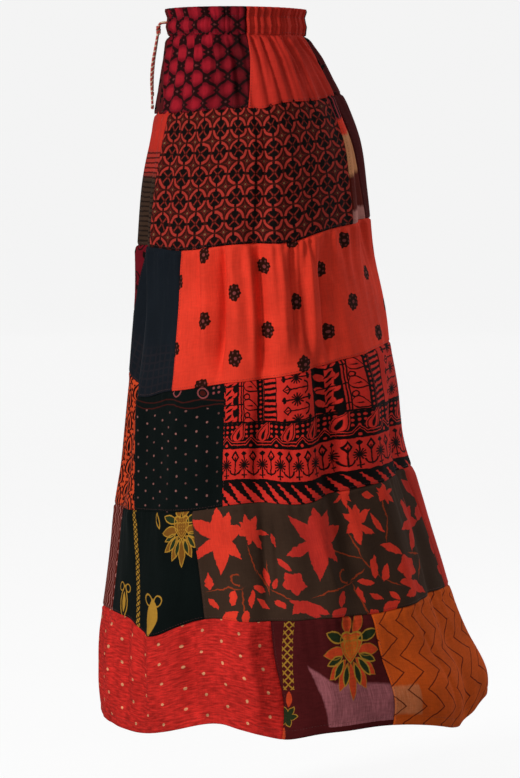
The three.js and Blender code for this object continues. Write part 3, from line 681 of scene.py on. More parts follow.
# The prints. Each has a common name and how it is made, its ground colour, where its repeat
# starts on the cloth (mm), a formula of u across and v down the cloth, and the inks over the
# ground in order. Thin is how much light passes through the cloth, crinkle how rough it lies.
PRINTS = {
    # Blue-red cotton under a black net of pointed cells with small stars, darkened in two steps towards
    # its far part as painted shade
    "net_crimson": {
        "label": "Block-printed cotton, ogee net",
        "ground": "crimson",
        "shift": (84, 68),
        "formula": """
c = cos(v * 0.2027) * 6.75
net = min(abs(cell(u - c, 27)), abs(cell(u - 13.5 + c, 27))) - 2.5
far = min(abs(cell(u - 6.75, 27)) + abs(cell(v, 31)), abs(cell(u + 6.75, 27)) + abs(cell(v - 15.5, 31)))
lines = max(ink(net), ink(far - 5.4)) * 0.93
b = min(size(cell(u + 6.75, 27), cell(v, 31)), size(cell(u - 6.75, 27), cell(v - 15.5, 31)))
glow = ink((b - 6) / 6) * 0.55
speck = ink(far - 1.5) * 0.45
dim = ink((27.5 - u) / 3) * 0.35 + ink((0 - u - 3.3) / 3) * 0.3
""",
        # dim is painted shade: past two edges across the cloth the net is darkened with black, where
        # shade falls
        "inks": [("glow", "wine_red"), ("lines", "ink"), ("speck", "dusk"), ("dim", "ink")],
    },
    # Plain orange-red cotton; only its gathers and the depth of its dye vary. Its ground is a deeper
    # red, which is partly painted shade.
    "plain_scarlet": {"label": "Plain dyed cotton", "ground": "brick"},
    # Wine cotton with black leaves leaning both ways, seen as a soft mottling
    "shadow_maroon": {
        "label": "Block-printed cotton, scattered leaves",
        "ground": "maroon",
        "formula": """
k = floor(u / 24 + 0.5)
x = cell(u, 24)
y = cell(v + frac(k / 2) * 34, 34)
""" + leaf_lines("leaf", [(-8, -9, 17, 2.6, 42), (9, 2, 14, 2.2, 150), (-2, 4, 12, 1.8, 75)]) + """
leaves = ink(leaf)
""",
        "inks": [("leaves", "ink")],
    },
    # Black cotton with broken orange-red rings on a square grid and stars between them
    "ring_trellis": {
        "label": "Block-printed cotton, ring trellis",
        "sway": 2.2,
        "ground": "liver",
        "shift": (110.6, 49.8),
        "formula": """
x = cell(u, 23.5)
y = cell(v, 27.4) * 0.86
r = size(x, y)
far = max(abs(x), abs(y))
near = min(abs(x), abs(y))
ring = max(abs(r - 9.8) - 1.3, 1.5 - near)
lobes = ink(size(far - 6.3, near) - 3.6)
cross = ink(max(abs(far - near) - 0.9, abs(r - 4.2) - 3)) * 0.5
x = abs(cell(u - 11.75, 23.5))
y = abs(cell(v - 13.7, 27.4) * 0.86)
star = sqrt(x) + sqrt(y)
red = max(ink(ring), ink(abs(star - 2.35) - 0.17) * 0.5)
black = max(lobes, ink(star - 2.2))
dot = ink(size(x, y) - 1.2) * 0.35
""",
        "inks": [("black", "ink"), ("cross", "ember"), ("red", "ember"), ("dot", "tan")],
    },
    # Cotton dyed in bands from black over orange-red and tan to brown, with streaks down it
    "sunset_tan": {
        "label": "Band-dyed cotton",
        "ground": "tan",
        "formula": """
w = v + streak * 9 - 4.5
b1 = ink((w - 27) / 3)
b2 = ink((w - 46) / 6)
b3 = ink((95 - w) / 8)
b4 = ink((138 - w) / 5)
lines = ink(abs(cell(u, 7)) - 1.4) * b1 * 0.6
""",
        "inks": [("b2", "scarlet"), ("b3", "bark"), ("b4", "blush"), ("b1", "night"),
                 ("lines", "rose")],
    },
    # Red cotton that turns brown-black down its length, with fine stripes across it
    "striped_brown": {
        "label": "Band-dyed cotton with stripes",
        "ground": "brown",
        "formula": """
w = v + streak * 8 - 4
b1 = ink((w - 45) / 4)
b2 = ink((w - 75) / 14)
lines = ink(abs(cell(v, 6)) - 1) * (1 - b1) * 0.8
""",
        "inks": [("b2", "ember"), ("b1", "brick"), ("lines", "ink")],
    },
    # Pink-red cotton with dark scrolls and leaves
    "scroll_pink": {
        "label": "Block-printed cotton, scrolls",
        "ground": "crimson",
        "formula": """
k = floor(u / 34 + 0.5)
x = cell(u, 34)
y = cell(v + frac(k / 2) * 44, 44)
r = size(x, y)
turns = max(abs(cell(r - atan(y, x) * 0.8, 5)) - 0.9, r - 10)
""" + leaf_lines("leaf", [(6, 8, 13, 2.6, 60), (-8, 6, 14, 2.6, 120), (9, -8, 12, 2.4, -50)]) + """
dark = max(ink(turns), ink(leaf))
""",
        "inks": [("dark", "ink")],
    },
    # Almost black blue cotton with a faint check
    "plain_navy": {
        "label": "Yarn-dyed cotton, faint check",
        "ground": "navy",
        "formula": """
check = max(ink(abs(cell(u, 9)) - 1.2), ink(abs(cell(v, 9)) - 1.2)) * ink((118 - v) / 20) * 0.012
""",
        "inks": [("check", "blush")],
    },
    # Orange-red cotton with small dark flowers set in columns, every other one lower
    "sprig_scarlet": {
        "label": "Block-printed cotton, sprigs",
        "ground": "scarlet",
        "shift": (38, 7),
        "formula": """
k = floor(u / 40 + 0.5)
x = cell(u, 40)
y = cell(v - k * 47, 75)
r = size(x, y * 0.82)
a = atan(y, x)
sprig = ink(r - 7.9 - sin(a * 5 + k) * 0.5 - sin(a * 11) * 0.5)
specks = ink(size(cell(a + k, 0.8976) * 5.4, r - 5.4) - 0.9) * 0.55
heart = ink(size(x - 0.8, y - 0.5) - 1.9) * 0.7
""",
        "inks": [("sprig", "soot"), ("specks", "dusk"), ("heart", "dusk")],
    },
    # Orange cotton with black-edged drops and dots
    "paisley_orange": {
        "label": "Block-printed cotton, drops",
        "ground": "orange",
        "formula": """
k = floor(u / 18 + 0.5)
x = cell(u, 18)
y = cell(v + frac(k / 2) * 26, 26)
t = (y + 11) / 20
w = max(1 - t, 0)
drop = abs(x - w * w * 4) - sqrt(w) * max(t, 0) * 15
edge = abs(drop - 1) - 1.5
core = drop + 3
dots = size(cell(u + 9, 6), cell(v + 14 + frac(k / 2) * 26, 6.5)) - 1.7
dark = max(max(ink(edge), ink(core)), ink(dots) * ink(3 - drop))
""",
        "inks": [("dark", "ink")],
    },
    # Black cotton with pinkish pin dots in columns, and rings and waves along its top
    "pin_dot_black": {
        "label": "Block-printed cotton, pin dots",
        "ground": "night",
        "shift": (21, 0),
        "formula": """
k = floor(u / 12.9 + 0.5)
w = v + frac(k / 2) * 17
j = floor(w / 17 + 0.5)
luck = frac(sin(k * 12.99 + j * 78.23) * 437.5)
line = v - 6 - u * 0.1
dot = ink(size(cell(u, 12.9), cell(w, 17)) - 1.25) * above(line, 10) * (0.2 + luck * 0.45)
wave = min(abs(line - 1.5 - sin(u * 0.13) * 1.4), abs(line - 8 - sin(u * 0.1 + 1) * 1.6)) - 0.7
waves = ink(wave) * 0.45
far = v - 2 - (u - 48) * 0.14
rings = ink(abs(size(cell(u - 48, 36), far) - 6) - 0.8) * below(abs(u - 66), 30)
rings = max(rings, ink(abs(size(abs(u - 100) - 3, abs(v - 6) - 3)) - 1.5))
core = ink(size(u - 84, far) - 3.4) * 0.6
""",
        "inks": [("dot", "blush"), ("waves", "bark"), ("core", "bark"), ("rings", "dusk")],
    },
    # Red cotton with black borders: strips on the grain above, rows of drops and trees below
    "border_red": {
        "label": "Block-printed cotton, borders",
        "ground": "poppy",
        "formula": """
w = v - u * 0.065
s = min(u, 118) + max(u - 118, 0) * 0.68
x = cell(s - 53.5, 129) + 53.5
y = cell(v, 15.5)
""" + leaf_lines("leaf", [(-9, -7, 17, 3.6, 38), (10, -7, 9, 2, 60), (13, 4, 9, 2, -50)]) + leaf_lines(
            "dash", [(12, -7, 13, 1.7, 140), (13, 1, 11, 1.5, 150)]) + """
leafy = max(ink(max(0 - leaf, max(x - 3, -12 - x))), max(ink(dash), ink(max(0 - leaf, abs(x - 17) - 4))))
spine = min(abs(x - 23.8), min(abs(x - 26.5), abs(x - 44.5))) - 0.8
t = (36 - x + 9) / 18
o = max(1 - t, 0)
y = cell(v - 8, 23)
curl = abs(y + 3 - o * o * 8) - sqrt(o) * max(t, 0) * 18
drops_a = min(abs(curl) - 0.9, max(curl + 5, abs(y) - 1.3))
drops_a = min(drops_a, abs(size(x - 31, cell(v + 4, 23)) - 3.2) - 0.8)
lace = max(abs(x - 48.3) - 3.6, 1.5 - size(cell(x - 48, 5), cell(v, 5.8)))
comb = max(abs(x - 60.5) - 8.5, min(abs(cell(v, 6.9)) - 1.8, 7.4 - abs(x - 60.5)))
y = abs(cell(v - 4, 25))
o = x - 94
r = size(o, y)
tree = min(max(y - 0.9, abs(o) - 19), max(y - 4.2 + abs(abs(o) - 16) * 0.8, abs(abs(o) - 16) - 2))
tree = min(tree, max(abs(cell(atan(y, o), 0.5236)) * r - 0.9, r - 8))
y = abs(cell(v - 16.5, 25))
torch = min(max(y - 0.8, abs(o - 1) - 15), abs(abs(o + 12) + y - 4.6) - 1.2)
torch = min(torch, max(abs(size(o - 8, y) - 7.5) - 1, 10 - o))
above_it = min(min(min(spine, drops_a), min(lace, comb)), min(tree, torch))
strips = max(leafy, ink(above_it))
rules = min(min(abs(w - 49.5), abs(w - 81)) - 1.2, abs(w - 122) - 2)
x = cell(s - 21.5, 31)
t = (w - 52) / 21
o = max(1 - t, 0)
curl = abs(x + 2.4 - o * o * 7) - sqrt(o) * max(t, 0) * 14.5
r = max(7 - abs(abs(x) - 15.5), 0) * 1.1
swag = min(abs(w - 77.6 + r), abs(w - 74 + r)) - 0.6
dots = max(max(size(cell(s, 6.2), cell(w - 55, 6)) - 1.7, w - 68), 3 - curl)
body = min(max(curl, -3.6 - curl), max(abs(curl - 1.9) - 0.6, w - 71))
row_1 = 1 - max(ink(min(body, dots)), max(ink(swag), ink(size(abs(x) - 15.5, w - 78) - 1.8)))
x = abs(cell(s - 6, 22))
r = size(x, w * 0.85 - 86.7)
tree = min(max(x - 0.9, abs(w - 102) - 17), max(x - 3.6 + abs(w - 88) * 0.9, abs(w - 88) - 2.4))
tree = min(tree, max(abs(cell(atan(w * 0.85 - 86.7, x), 0.5236)) * r - 0.8, r - 6.6))
tree = min(tree, max(x - 3.4, abs(w - 115) - 0.9))
x = abs(cell(s - 17, 22))
torch = min(max(x - 0.8, abs(w - 104) - 12), abs(x * 1.3 + abs(w - 92) * 0.75 - 4.6) - 1.5)
torch = min(torch, max(abs(size(x, w - 108) - 6.2) - 1, 108 - w))
leaf = abs(cell(s - w * 0.8, 15)) - 1.6 - (w - 124) * 0.21 + swing(w + s * 0.3, 2.6) * 0.6
row_1 = row_1 * above(w, 49) * below(w, 81)
row_2 = max(ink(tree), ink(torch)) * above(w, 81) * below(w, 122)
row_3 = ink(0 - leaf) * above(w, 122)
dark = max(max(strips * below(w, 49), ink(rules)), max(row_1, max(row_2, row_3)))
""",
        "inks": [("dark", "ink")],
        "ragged": 2.6,
    },
    # Wine-brown cotton with fine pinkish zigzags down it
    "zigzag_maroon": {
        "label": "Block-printed cotton, fine zigzag",
        "ground": "bark",
        "formula": """
lines = ink(abs(cell(u - swing(v, 7) * 0.8, 9)) - 0.8)
""",
        "inks": [("lines", "blush")],
    },
    # Black cotton with a gold rope down it and gold leaves
    "gilt_black": {
        "label": "Hand-printed cotton, gold leaves",
        "ground": "night",
        "formula": """
x = u
y = v
q = u - 49 - v * 0.13
rope = max(abs(q) - 3.2, 0.9 - min(abs(cell(q * 0.9 + v, 6)), abs(cell(q * 0.9 - v, 6))))
""" + leaf_lines("leaf", [(34, 98, 42, 6.5, 90), (96, 2, 18, 3.4, 60)]) + leaf_lines(
            "fruit", [(92, 94, 42, 9, 90), (34, 106, 26, 3, 90)]) + """
curl = min(abs(size(x - 84, y - 98) - 6), abs(size(x - 100, y - 98) - 6)) - 0.8
curl = min(curl, min(abs(size(x - 27, y - 100) - 5), abs(size(x - 41, y - 100) - 5)) - 0.7)
x = abs(u + v * 0.1 - 141) * 1.5
y = v * 1.3 + 12
""" + LOTUS + """
gold = max(max(ink(rope), ink(curl)), max(ink(abs(leaf) - 0.9), ink(fruit)))
gold = max(max(gold, outline), max(ink(abs(petal) - 0.9), ink(abs(fruit + 4) - 0.6) * 0.2))
""",
        "inks": [("orange", "moss"), ("leaves", "leaf"), ("gold", "gold")],
    },
    # Brown cotton with red lilies, tulips, thin stems and leaves
    "flower_brown": {
        "label": "Block-printed cotton, lilies",
        "ground": "brown",
        "formula": """
x = cell(u - 165, 330) + 165
y = v
""" + leaf_lines("lily", [
            *petal_rows(33, 40, 41), *petal_rows(156, 48, 42, 8), *petal_rows(73, 34, 20, 20, -1),
            *petal_rows(213, 38, 23, -15, -1), *petal_rows(306, 58, 30, 30),
            *petal_rows(208, 4, 15), *petal_rows(262, 14, 13, 40, -1)]) + leaf_lines("leaf", [
                (84, 102, 23, 4, -98), (89, 103, 15, 3.5, -63), (44, 104, 21, 4.2, 113),
                (63, 106, 19, 3.4, 100), (63, 101, 17, 3.4, 25), (68, 115, 18, 3.2, 45),
                (10, 104, 21, 4.5, -88), (7, 116, 19, 4, 52), (101, 53, 17, 3, -97),
                (98, 67, 22, 3.6, 40), (89, 119, 14, 3.4, 33), (22, 142, 24, 5, -30),
                (48, 146, 18, 5, -70), (104, 117, 42, 5.5, 33), (116, 120, 38, 6, 28),
                (106, 134, 18, 4, -50), (171, 111, 22, 4.2, 113), (190, 110, 20, 3.6, 86),
                (192, 104, 22, 3.8, 10), (201, 120, 21, 3.4, 28), (216, 102, 27, 5, -70),
                (227, 108, 21, 4, -58), (236, 68, 29, 5, 32), (246, 55, 25, 4, -112),
                (228, 121, 18, 3.6, 45), (246, 112, 44, 5.5, 27), (262, 116, 32, 5.5, 37),
                (250, 132, 22, 4, -20), (214, 142, 26, 5, -15), (150, 142, 22, 5, -25),
                (252, 20, 20, 4, -60), (232, 8, 16, 4, 20)]) + leaf_lines("stem", [
                    (66, 50, 36, 1, 82), (71, 80, 34, 1, 66), (6, 106, 48, 1, -5),
                    (52, 100, 50, 1, 93), (86, 70, 42, 1, 93), (108, 117, 26, 0.9, -150),
                    (166, 62, 46, 1.2, 24), (205, 78, 32, 1.1, 50), (224, 102, 28, 1, 34),
                    (206, 80, 36, 1, -100), (132, 115, 56, 1, -13), (184, 102, 26, 1, -28),
                    (184, 102, 52, 1.1, 80), (243, 68, 34, 1, -64), (257, 42, 34, 1, -95),
                    (300, 96, 30, 1, 130), (274, 84, 28, 0.9, 20)]) + bloom_lines("bud", [
                        (115, 96, 15, 5, 20, 0.3), (265, 100, 16, 5, -30, 0.3),
                        (34, 146, 11, 5, 0, 0.3), (200, 148, 12, 5, 30, 0.3)]) + """
curl = max(abs(size(x - 47, y - 91) - 6.5) - 1, x - 49)
curl = min(curl, max(abs(size(x - 177, y - 95) - 7) - 1, x - 179))
red = max(max(ink(lily), ink(leaf)), ink(bud))
warm = red * (0.45 + 0.45 * cos((u - 40) * 0.033) + 0.5 * (streak - 0.5))
twigs = max(ink(stem), ink(curl)) * 0.9
""",
        "inks": [("twigs", "rust"), ("red", "petal"), ("warm", "scarlet")],
        "sway": 3.0,
        "ragged": 5.0,
    },
    # Thin crinkled red cotton with cream dots, lighter where light comes through at its foot
    "dot_red": {
        "label": "Crinkled cotton gauze, dotted",
        "ground": "gauze",
        "formula": """
k = floor(u / 27 + 0.5)
dots = ink(size(cell(u, 27), cell(v + frac(k / 2) * 27, 27)) - 1.9) * 0.7
""",
        "inks": [("dots", "cream")],
        "thin": 0.3,
        "crinkle": 1.5,
    },
    # Thin wine voile with a gold lattice border and one gold lotus, with painted light at its foot:
    # lighter and pinker, as if light came through from behind
    "gilt_maroon": {
        "label": "Hand-printed cotton voile, gold lotus",
        "ground": "maroon",
        "formula": """
q = u + v * 0.19 - 24
lace = min(abs(cell(q + v, 9)), abs(cell(q - v, 9))) - 1.1
braid = max(max(abs(q) - 6.5, lace), v - 78)
x = abs(u + v * 0.25 - 106) * 1.2
y = v
""" + LOTUS + """
x = q
""" + leaf_lines("spray", [(0, 79, 18, 3.6, 90), (0, 120, 22, 4.5, 90)]) + """
y = v - 108
""" + bloom_lines("small", [(0, 0, 13, 6, 0, 0.5)]) + """
gold = max(ink(braid), outline)
orange = max(orange, max(ink(spray), ink(size(x, y) - 3)))
leaves = max(leaves, ink(small))
rim = ink(abs(small) - 0.7)
reach = min(54 + (u - 39) * 0.9, 76 + (u - 62) * 0.1)
sheer = ink((reach - v) / 5) * ink((28 + v * 0.2 - u) / 3) * below(v, 127) * (0.3 + streak * 0.9)
""",
        # sheer is painted light: the foot of the voile is lighter and pinker, streaked, as if lit from
        # behind
        "inks": [("sheer", "haze"), ("orange", "orange"), ("core", "amber"), ("leaves", "leaf"),
                 ("gold", "gold"), ("rim", "gold")],
        "thin": 0.25,
        "crinkle": 0.5,
    },
    # Burnt orange cotton with thin dark zigzag lines down it, and painted light at its foot beside its
    # first edge: a paler tan patch, streaked
    "zigzag_ochre": {
        "label": "Hand-printed cotton, wide zigzag",
        "ground": "ochre",
        "formula": """
lines = ink(abs(cell(u + v * 0.17 - 9 - swing(v - 13, 22) * 1.25, 29)) - 1.25) * 0.9
pale = ink((abs(u - 19) - 19) / 4) * ink((abs(v - 114) - 19) / 5) * (0.25 + streak * 0.6)
""",
        # pale here is painted light: a paler tan patch at the foot, where light would come through the
        # thin cloth
        "inks": [("pale", "tan"), ("lines", "bark")],
        "thin": 0.2,
        "crinkle": 0.3,
    },
}


def new_material(name):
    """A material with no nodes yet"""
    material = bpy.data.materials.new(name)
    material.use_nodes = True
    material.node_tree.nodes.clear()
    return material


def cloth_material(cloth, colours):
    """The material of one cloth, with its print, uneven dye, threads, slubs and crinkles"""
    print_ = PRINTS[cloth]
    made = bpy.data.materials.get(print_["label"])
    if made:
        return made
    material = new_material(print_["label"])
    tree = material.node_tree
    colour = {name: (*getattr(colours, name), 1) for name in PALETTE}

    # Places on the flat cloth in mm, shaken a little as a hand-pressed block does
    place = add(tree, "ShaderNodeUVMap", uv_map="flat").outputs[0]
    metres = add(tree, "ShaderNodeTexCoord").outputs["Object"]
    shake = add(tree, "ShaderNodeTexNoise", {"Vector": place, "Scale": 170.0, "Detail": 2.0})
    shake = add(tree, "ShaderNodeVectorMath", (
        shake.outputs[1], (0.5, 0.5, 0.5)), operation="SUBTRACT")
    ragged = print_.get("ragged", 1.6)
    shake = add(tree, "ShaderNodeVectorMath", (
        shake.outputs[0], (ragged, ragged, 0)), operation="MULTIPLY")
    millimetres = add(tree, "ShaderNodeVectorMath", (place, (1000, 1000, 0)), operation="MULTIPLY")
    sway = add(tree, "ShaderNodeTexNoise", {"Vector": place, "Scale": 38.0, "Detail": 1.0})
    sway = add(tree, "ShaderNodeVectorMath", (sway.outputs[1], (0.5, 0.5, 0.5)), operation="SUBTRACT")
    reach = print_.get("sway", 1.0) * 3
    sway = add(tree, "ShaderNodeVectorMath", {
        0: sway.outputs[0], 1: (reach, reach, 0), 2: shake.outputs[0]}, operation="MULTIPLY_ADD")
    shift = print_.get("shift", (0, 0))
    start = add(tree, "ShaderNodeVectorMath", (
        millimetres.outputs[0], (*shift, 0)), operation="SUBTRACT")
    start = add(tree, "ShaderNodeVectorMath", (start.outputs[0], sway.outputs[0]), operation="ADD")
    axes = add(tree, "ShaderNodeSeparateXYZ", (start.outputs[0],))

    # Threads that run down the cloth vary in thickness, which shows as streaks
    slub_place = add(tree, "ShaderNodeVectorMath", (place, (900, 60, 0)), operation="MULTIPLY")
    slub = add(tree, "ShaderNodeTexNoise", {
        "Vector": slub_place.outputs[0], "Scale": 1.0, "Detail": 2.0})
    known = {"u": axes.outputs[0], "v": axes.outputs[1], "streak": slub.outputs[0]}
    formula(tree, print_.get("formula", ""), known)
    shade = colour[print_["ground"]]
    for mask, name in print_.get("inks", []):
        mix = add(tree, "ShaderNodeMix", {0: known[mask], 6: shade, 7: colour[name]}, data_type="RGBA")
        shade = mix.outputs[2]

    # Dye that took unevenly: broad patches and the streaks of the threads
    cloud = add(tree, "ShaderNodeTexNoise", {"Vector": metres, "Scale": 22.0, "Detail": 4.0})
    depth = add(tree, "ShaderNodeMapRange", {0: cloud.outputs[0], 1: 0.3, 2: 0.7, 3: 0.86, 4: 1.1})
    lines = add(tree, "ShaderNodeMapRange", {0: slub.outputs[0], 1: 0.3, 2: 0.7, 3: 0.93, 4: 1.07})
    depth = add(tree, "ShaderNodeMath", (depth.outputs[0], lines.outputs[0]), operation="MULTIPLY")
    rough = print_.get("crinkle", 0.2)
    weft = add(tree, "ShaderNodeVectorMath", (place, (90, 420, 0)), operation="MULTIPLY")
    weft = add(tree, "ShaderNodeTexNoise", {"Vector": weft.outputs[0], "Scale": 1.0, "Detail": 3.0})
    weft = add(tree, "ShaderNodeMapRange", {
        0: weft.outputs[0], 1: 0.3, 2: 0.7, 3: 1 - 0.25 * rough, 4: 1 + 0.25 * rough})
    depth = add(tree, "ShaderNodeMath", (depth.outputs[0], weft.outputs[0]), operation="MULTIPLY")
    shade = shade[:3] if isinstance(shade, tuple) else shade
    shade = add(tree, "ShaderNodeVectorMath", {0: shade, 3: depth.outputs[0]}, operation="SCALE")

    # The weave and, larger, the way the cloth has dried
    threads = add(tree, "ShaderNodeTexNoise", {"Vector": metres, "Scale": 900.0, "Detail": 2.0})
    crinkle = add(tree, "ShaderNodeTexNoise", {"Vector": metres, "Scale": 130.0, "Detail": 4.0})
    weave = add(tree, "ShaderNodeBump", {
        "Strength": 0.35, "Distance": 0.0003, "Height": threads.outputs[0]})
    bump = add(tree, "ShaderNodeBump", {
        "Strength": 0.5, "Distance": 0.0012 * rough + 0.0004, "Height": crinkle.outputs[0],
        "Normal": weave.outputs[0]})

    # Dull cotton, with some of the light that falls on its other side
    face = add(tree, "ShaderNodeBsdfPrincipled", {
        "Base Color": shade.outputs[0], "Roughness": 0.88, "Specular IOR Level": 0.03,
        "Normal": bump.outputs[0]})
    through = add(tree, "ShaderNodeBsdfTranslucent", {
        "Color": shade.outputs[0], "Normal": bump.outputs[0]})
    both = add(tree, "ShaderNodeMixShader", (
        print_.get("thin", 0.08), face.outputs[0], through.outputs[0]))
    add(tree, "ShaderNodeOutputMaterial", (both.outputs[0],))
    return material


def cord_material(colours):
    """Twisted cord of red and undyed strands: slanting stripes that follow the lay"""
    made = bpy.data.materials.get("Twisted cotton cord")
    if made:
        return made
    material = new_material("Twisted cotton cord")
    tree = material.node_tree
    place = add(tree, "ShaderNodeTexCoord").outputs["Object"]
    axes = add(tree, "ShaderNodeSeparateXYZ", (place,))
    known = {"x": axes.outputs[0], "y": axes.outputs[1], "z": axes.outputs[2]}
    formula(tree, """
lay = z * 1600 + x * 900 - y * 700
strand = abs(sin(lay))
pale = above(sin(lay * 0.6667), 0.55)
""", known)
    red, white = (*colours.cord_red, 1), (*colours.cord_pale, 1)
    mix = add(tree, "ShaderNodeMix", {0: known["pale"], 6: red, 7: white}, data_type="RGBA")
    bump = add(tree, "ShaderNodeBump", {
        "Strength": 0.8, "Distance": 0.0006, "Height": known["strand"]})
    face = add(tree, "ShaderNodeBsdfPrincipled", {
        "Base Color": mix.outputs[2], "Roughness": 0.8, "Normal": bump.outputs[0]})
    add(tree, "ShaderNodeOutputMaterial", (face.outputs[0],))
    return material


def thread_material(colours):
    """Sewing thread, dull and dark red, so that stitches show only from close by"""
    material = new_material("Sewing thread")
    tree = material.node_tree
    place = add(tree, "ShaderNodeTexCoord").outputs["Object"]
    fuzz = add(tree, "ShaderNodeTexNoise", {"Vector": place, "Scale": 1500.0})
    dark, red = (*colours.ink, 1), (*colours.thread, 1)
    mix = add(tree, "ShaderNodeMix", {0: fuzz.outputs[0], 6: dark, 7: red}, data_type="RGBA")
    face = add(tree, "ShaderNodeBsdfPrincipled", {"Base Color": mix.outputs[2], "Roughness": 0.7})
    add(tree, "ShaderNodeOutputMaterial", (face.outputs[0],))
    return material


def tube(name, points, radius, material):
    """An open cord along points in metres, as one smooth curve"""
    curve = bpy.data.curves.new(name, "CURVE")
    curve.dimensions = "3D"
    curve.bevel_depth = radius
    curve.bevel_resolution = 4
    curve.use_fill_caps = True
    spline = curve.splines.new("POLY")
    spline.points.add(len(points) - 1)
    for point, place in zip(spline.points, points):
        point.co = (*place, 1)
    curve.materials.append(material)
    thing = bpy.data.objects.new(name, curve)
    bpy.context.scene.collection.objects.link(thing)
    return thing


def through_points(points, count):
    """Evenly counted places on a smooth curve through given points"""
    points = np.array(points, dtype=float)
    padded = np.concatenate([[2 * points[0] - points[1]], points, [2 * points[-1] - points[-2]]])
    places = []
    for t in np.linspace(0, len(points) - 1, count):
        i = min(int(t), len(points) - 2)
        f = t - i
        a, b, c, d = padded[i:i + 4]
        places.append(0.5 * (2 * b + (c - a) * f + (2 * a - 5 * b + 4 * c - d) * f ** 2
                             + (3 * b - a - 3 * c + d) * f ** 3))
    return np.array(places)


def knot_points(middle, size, flat, count=40):
    """A tied knot: the line crosses itself three times, pressed flat against the cloth"""
    t = np.linspace(0, 2 * math.pi, count, endpoint=False)
    x = np.sin(t) + 2 * np.sin(2 * t)
    z = np.cos(t) - 2 * np.cos(2 * t)
    y = -np.sin(3 * t)
    return np.stack([x * size, y * flat, z * size], axis=-1) + np.array(middle)


class SkirtSizes(bpy.types.PropertyGroup):
    """Sizes of the cloth and its sewing"""
    cloth: bpy.props.FloatProperty(
        name="Cloth", description="Thickness of the cloth", default=0.0008, unit="LENGTH")
    stitch: bpy.props.FloatProperty(
        name="Stitch", description="Length of a stitch", default=0.0024, unit="LENGTH")
    pitch: bpy.props.FloatProperty(
        name="Pitch", description="From one stitch to the next", default=0.0036, unit="LENGTH")
    thread: bpy.props.FloatProperty(
        name="Thread", description="Thickness of the thread", default=0.0004, unit="LENGTH")
    floor: bpy.props.FloatProperty(
        name="Floor", description="Height of the floor under the waist", default=-1.02, unit="LENGTH")


class SkirtColours(bpy.types.PropertyGroup):
    """Dyes, prints, threads and painted light"""
    __annotations__ = {
        name: bpy.props.FloatVectorProperty(
            name=name.replace("_", " ").capitalize(), description=words, subtype="COLOR",
            size=3, min=0, max=1, default=linear(colour))
        for name, (colour, words) in PALETTE.items()
    }


class SKIRT_OT_stage(bpy.types.Operator):
    """Camera, lights and a plain pale floor"""
    bl_idname = "skirt.stage"
    bl_label = "Stage"

    def execute(self, context):
        scene = context.scene
        scene.view_settings.view_transform = "Standard"
        world = bpy.data.worlds.new("Studio")
        world.use_nodes = True
        world.node_tree.nodes["Background"].inputs["Color"].default_value = (1, 1, 1, 1)
        world.node_tree.nodes["Background"].inputs["Strength"].default_value = 0.24
        scene.world = world

        # Size, power, place and aim of each light: key from the front left, fill and rim
        lights = [
            ("key", 0.8, 118, (2.9, -2.6, 1.1), (0, 0, -0.45)),
            ("fill", 2.0, 27, (4.4, -0.4, 0.6), (0, 0, -0.5)),
            ("rim", 1.0, 28, (-1.5, 2.2, 0.7), (0, 0.1, -0.5)),
        ]
        for name, size, power, place, aim in lights:
            lamp = bpy.data.lights.new(name, "AREA")
            lamp.size = size
            lamp.energy = power
            thing = bpy.data.objects.new(name, lamp)
            thing.location = place
            self.point(thing, aim)
            scene.collection.objects.link(thing)

        # The camera stands 4.6 m to the wearer's left, just under the waist, and looks down
        camera = bpy.data.cameras.new("camera")
        camera.lens = 170.8
        camera.sensor_width = 36
        camera.clip_start = 0.1
        camera.clip_end = 60
        thing = bpy.data.objects.new("camera", camera)
        thing.location = (4.6, 0.0281, -0.10)
        self.point(thing, (0, 0.0281, -0.455))
        scene.collection.objects.link(thing)
        scene.camera = thing

        # A round floor of pale paper that curves up all round, past every place of the camera.
        # It neither lights nor shades the cloth.
        floor = context.scene.skirt_sizes.floor
        flat, bend, top = 10, 2, 7
        curve = [(flat + bend * math.sin(a), bend - bend * math.cos(a))
                 for a in np.linspace(0, math.pi / 2, 16)]
        section = [(0.0002, 0), (2, 0), (5, 0)] + curve + [(flat + bend, top)]
        around = np.linspace(0, 2 * math.pi, 73)
        points = np.array([
            [(r * math.cos(a), r * math.sin(a), z + floor) for a in around] for r, z in section])
        paper = grid_object("paper_floor", points, points[:, :, :2] * 0.1)
        paper.data.materials.append(self.paper())
        paper.visible_diffuse = False
        paper.visible_shadow = False
        return {"FINISHED"}

    def point(self, thing, aim):
        """Turns a light or camera towards a place"""
        from_here = np.array(aim) - np.array(thing.location)
        flat = math.hypot(from_here[0], from_here[1])
        tilt = math.atan2(flat, -from_here[2])
        thing.rotation_euler = (tilt, 0, math.atan2(-from_here[0], from_here[1]))

    def paper(self):
        """Matte white paper that glows a little, so that it shows almost white"""
        material = new_material("Matte studio paper")
        tree = material.node_tree
        place = add(tree, "ShaderNodeTexCoord").outputs["Object"]
        grain = add(tree, "ShaderNodeTexNoise", {"Vector": place, "Scale": 3.0})
        tone = add(tree, "ShaderNodeMapRange", {0: grain.outputs[0], 3: 0.13, 4: 0.15})
        face = add(tree, "ShaderNodeBsdfPrincipled", {
            "Base Color": tone.outputs[0], "Roughness": 0.95, "Specular IOR Level": 0.1,
            "Emission Color": (1, 1, 1, 1), "Emission Strength": 0.86})
        add(tree, "ShaderNodeOutputMaterial", (face.outputs[0],))
        return material


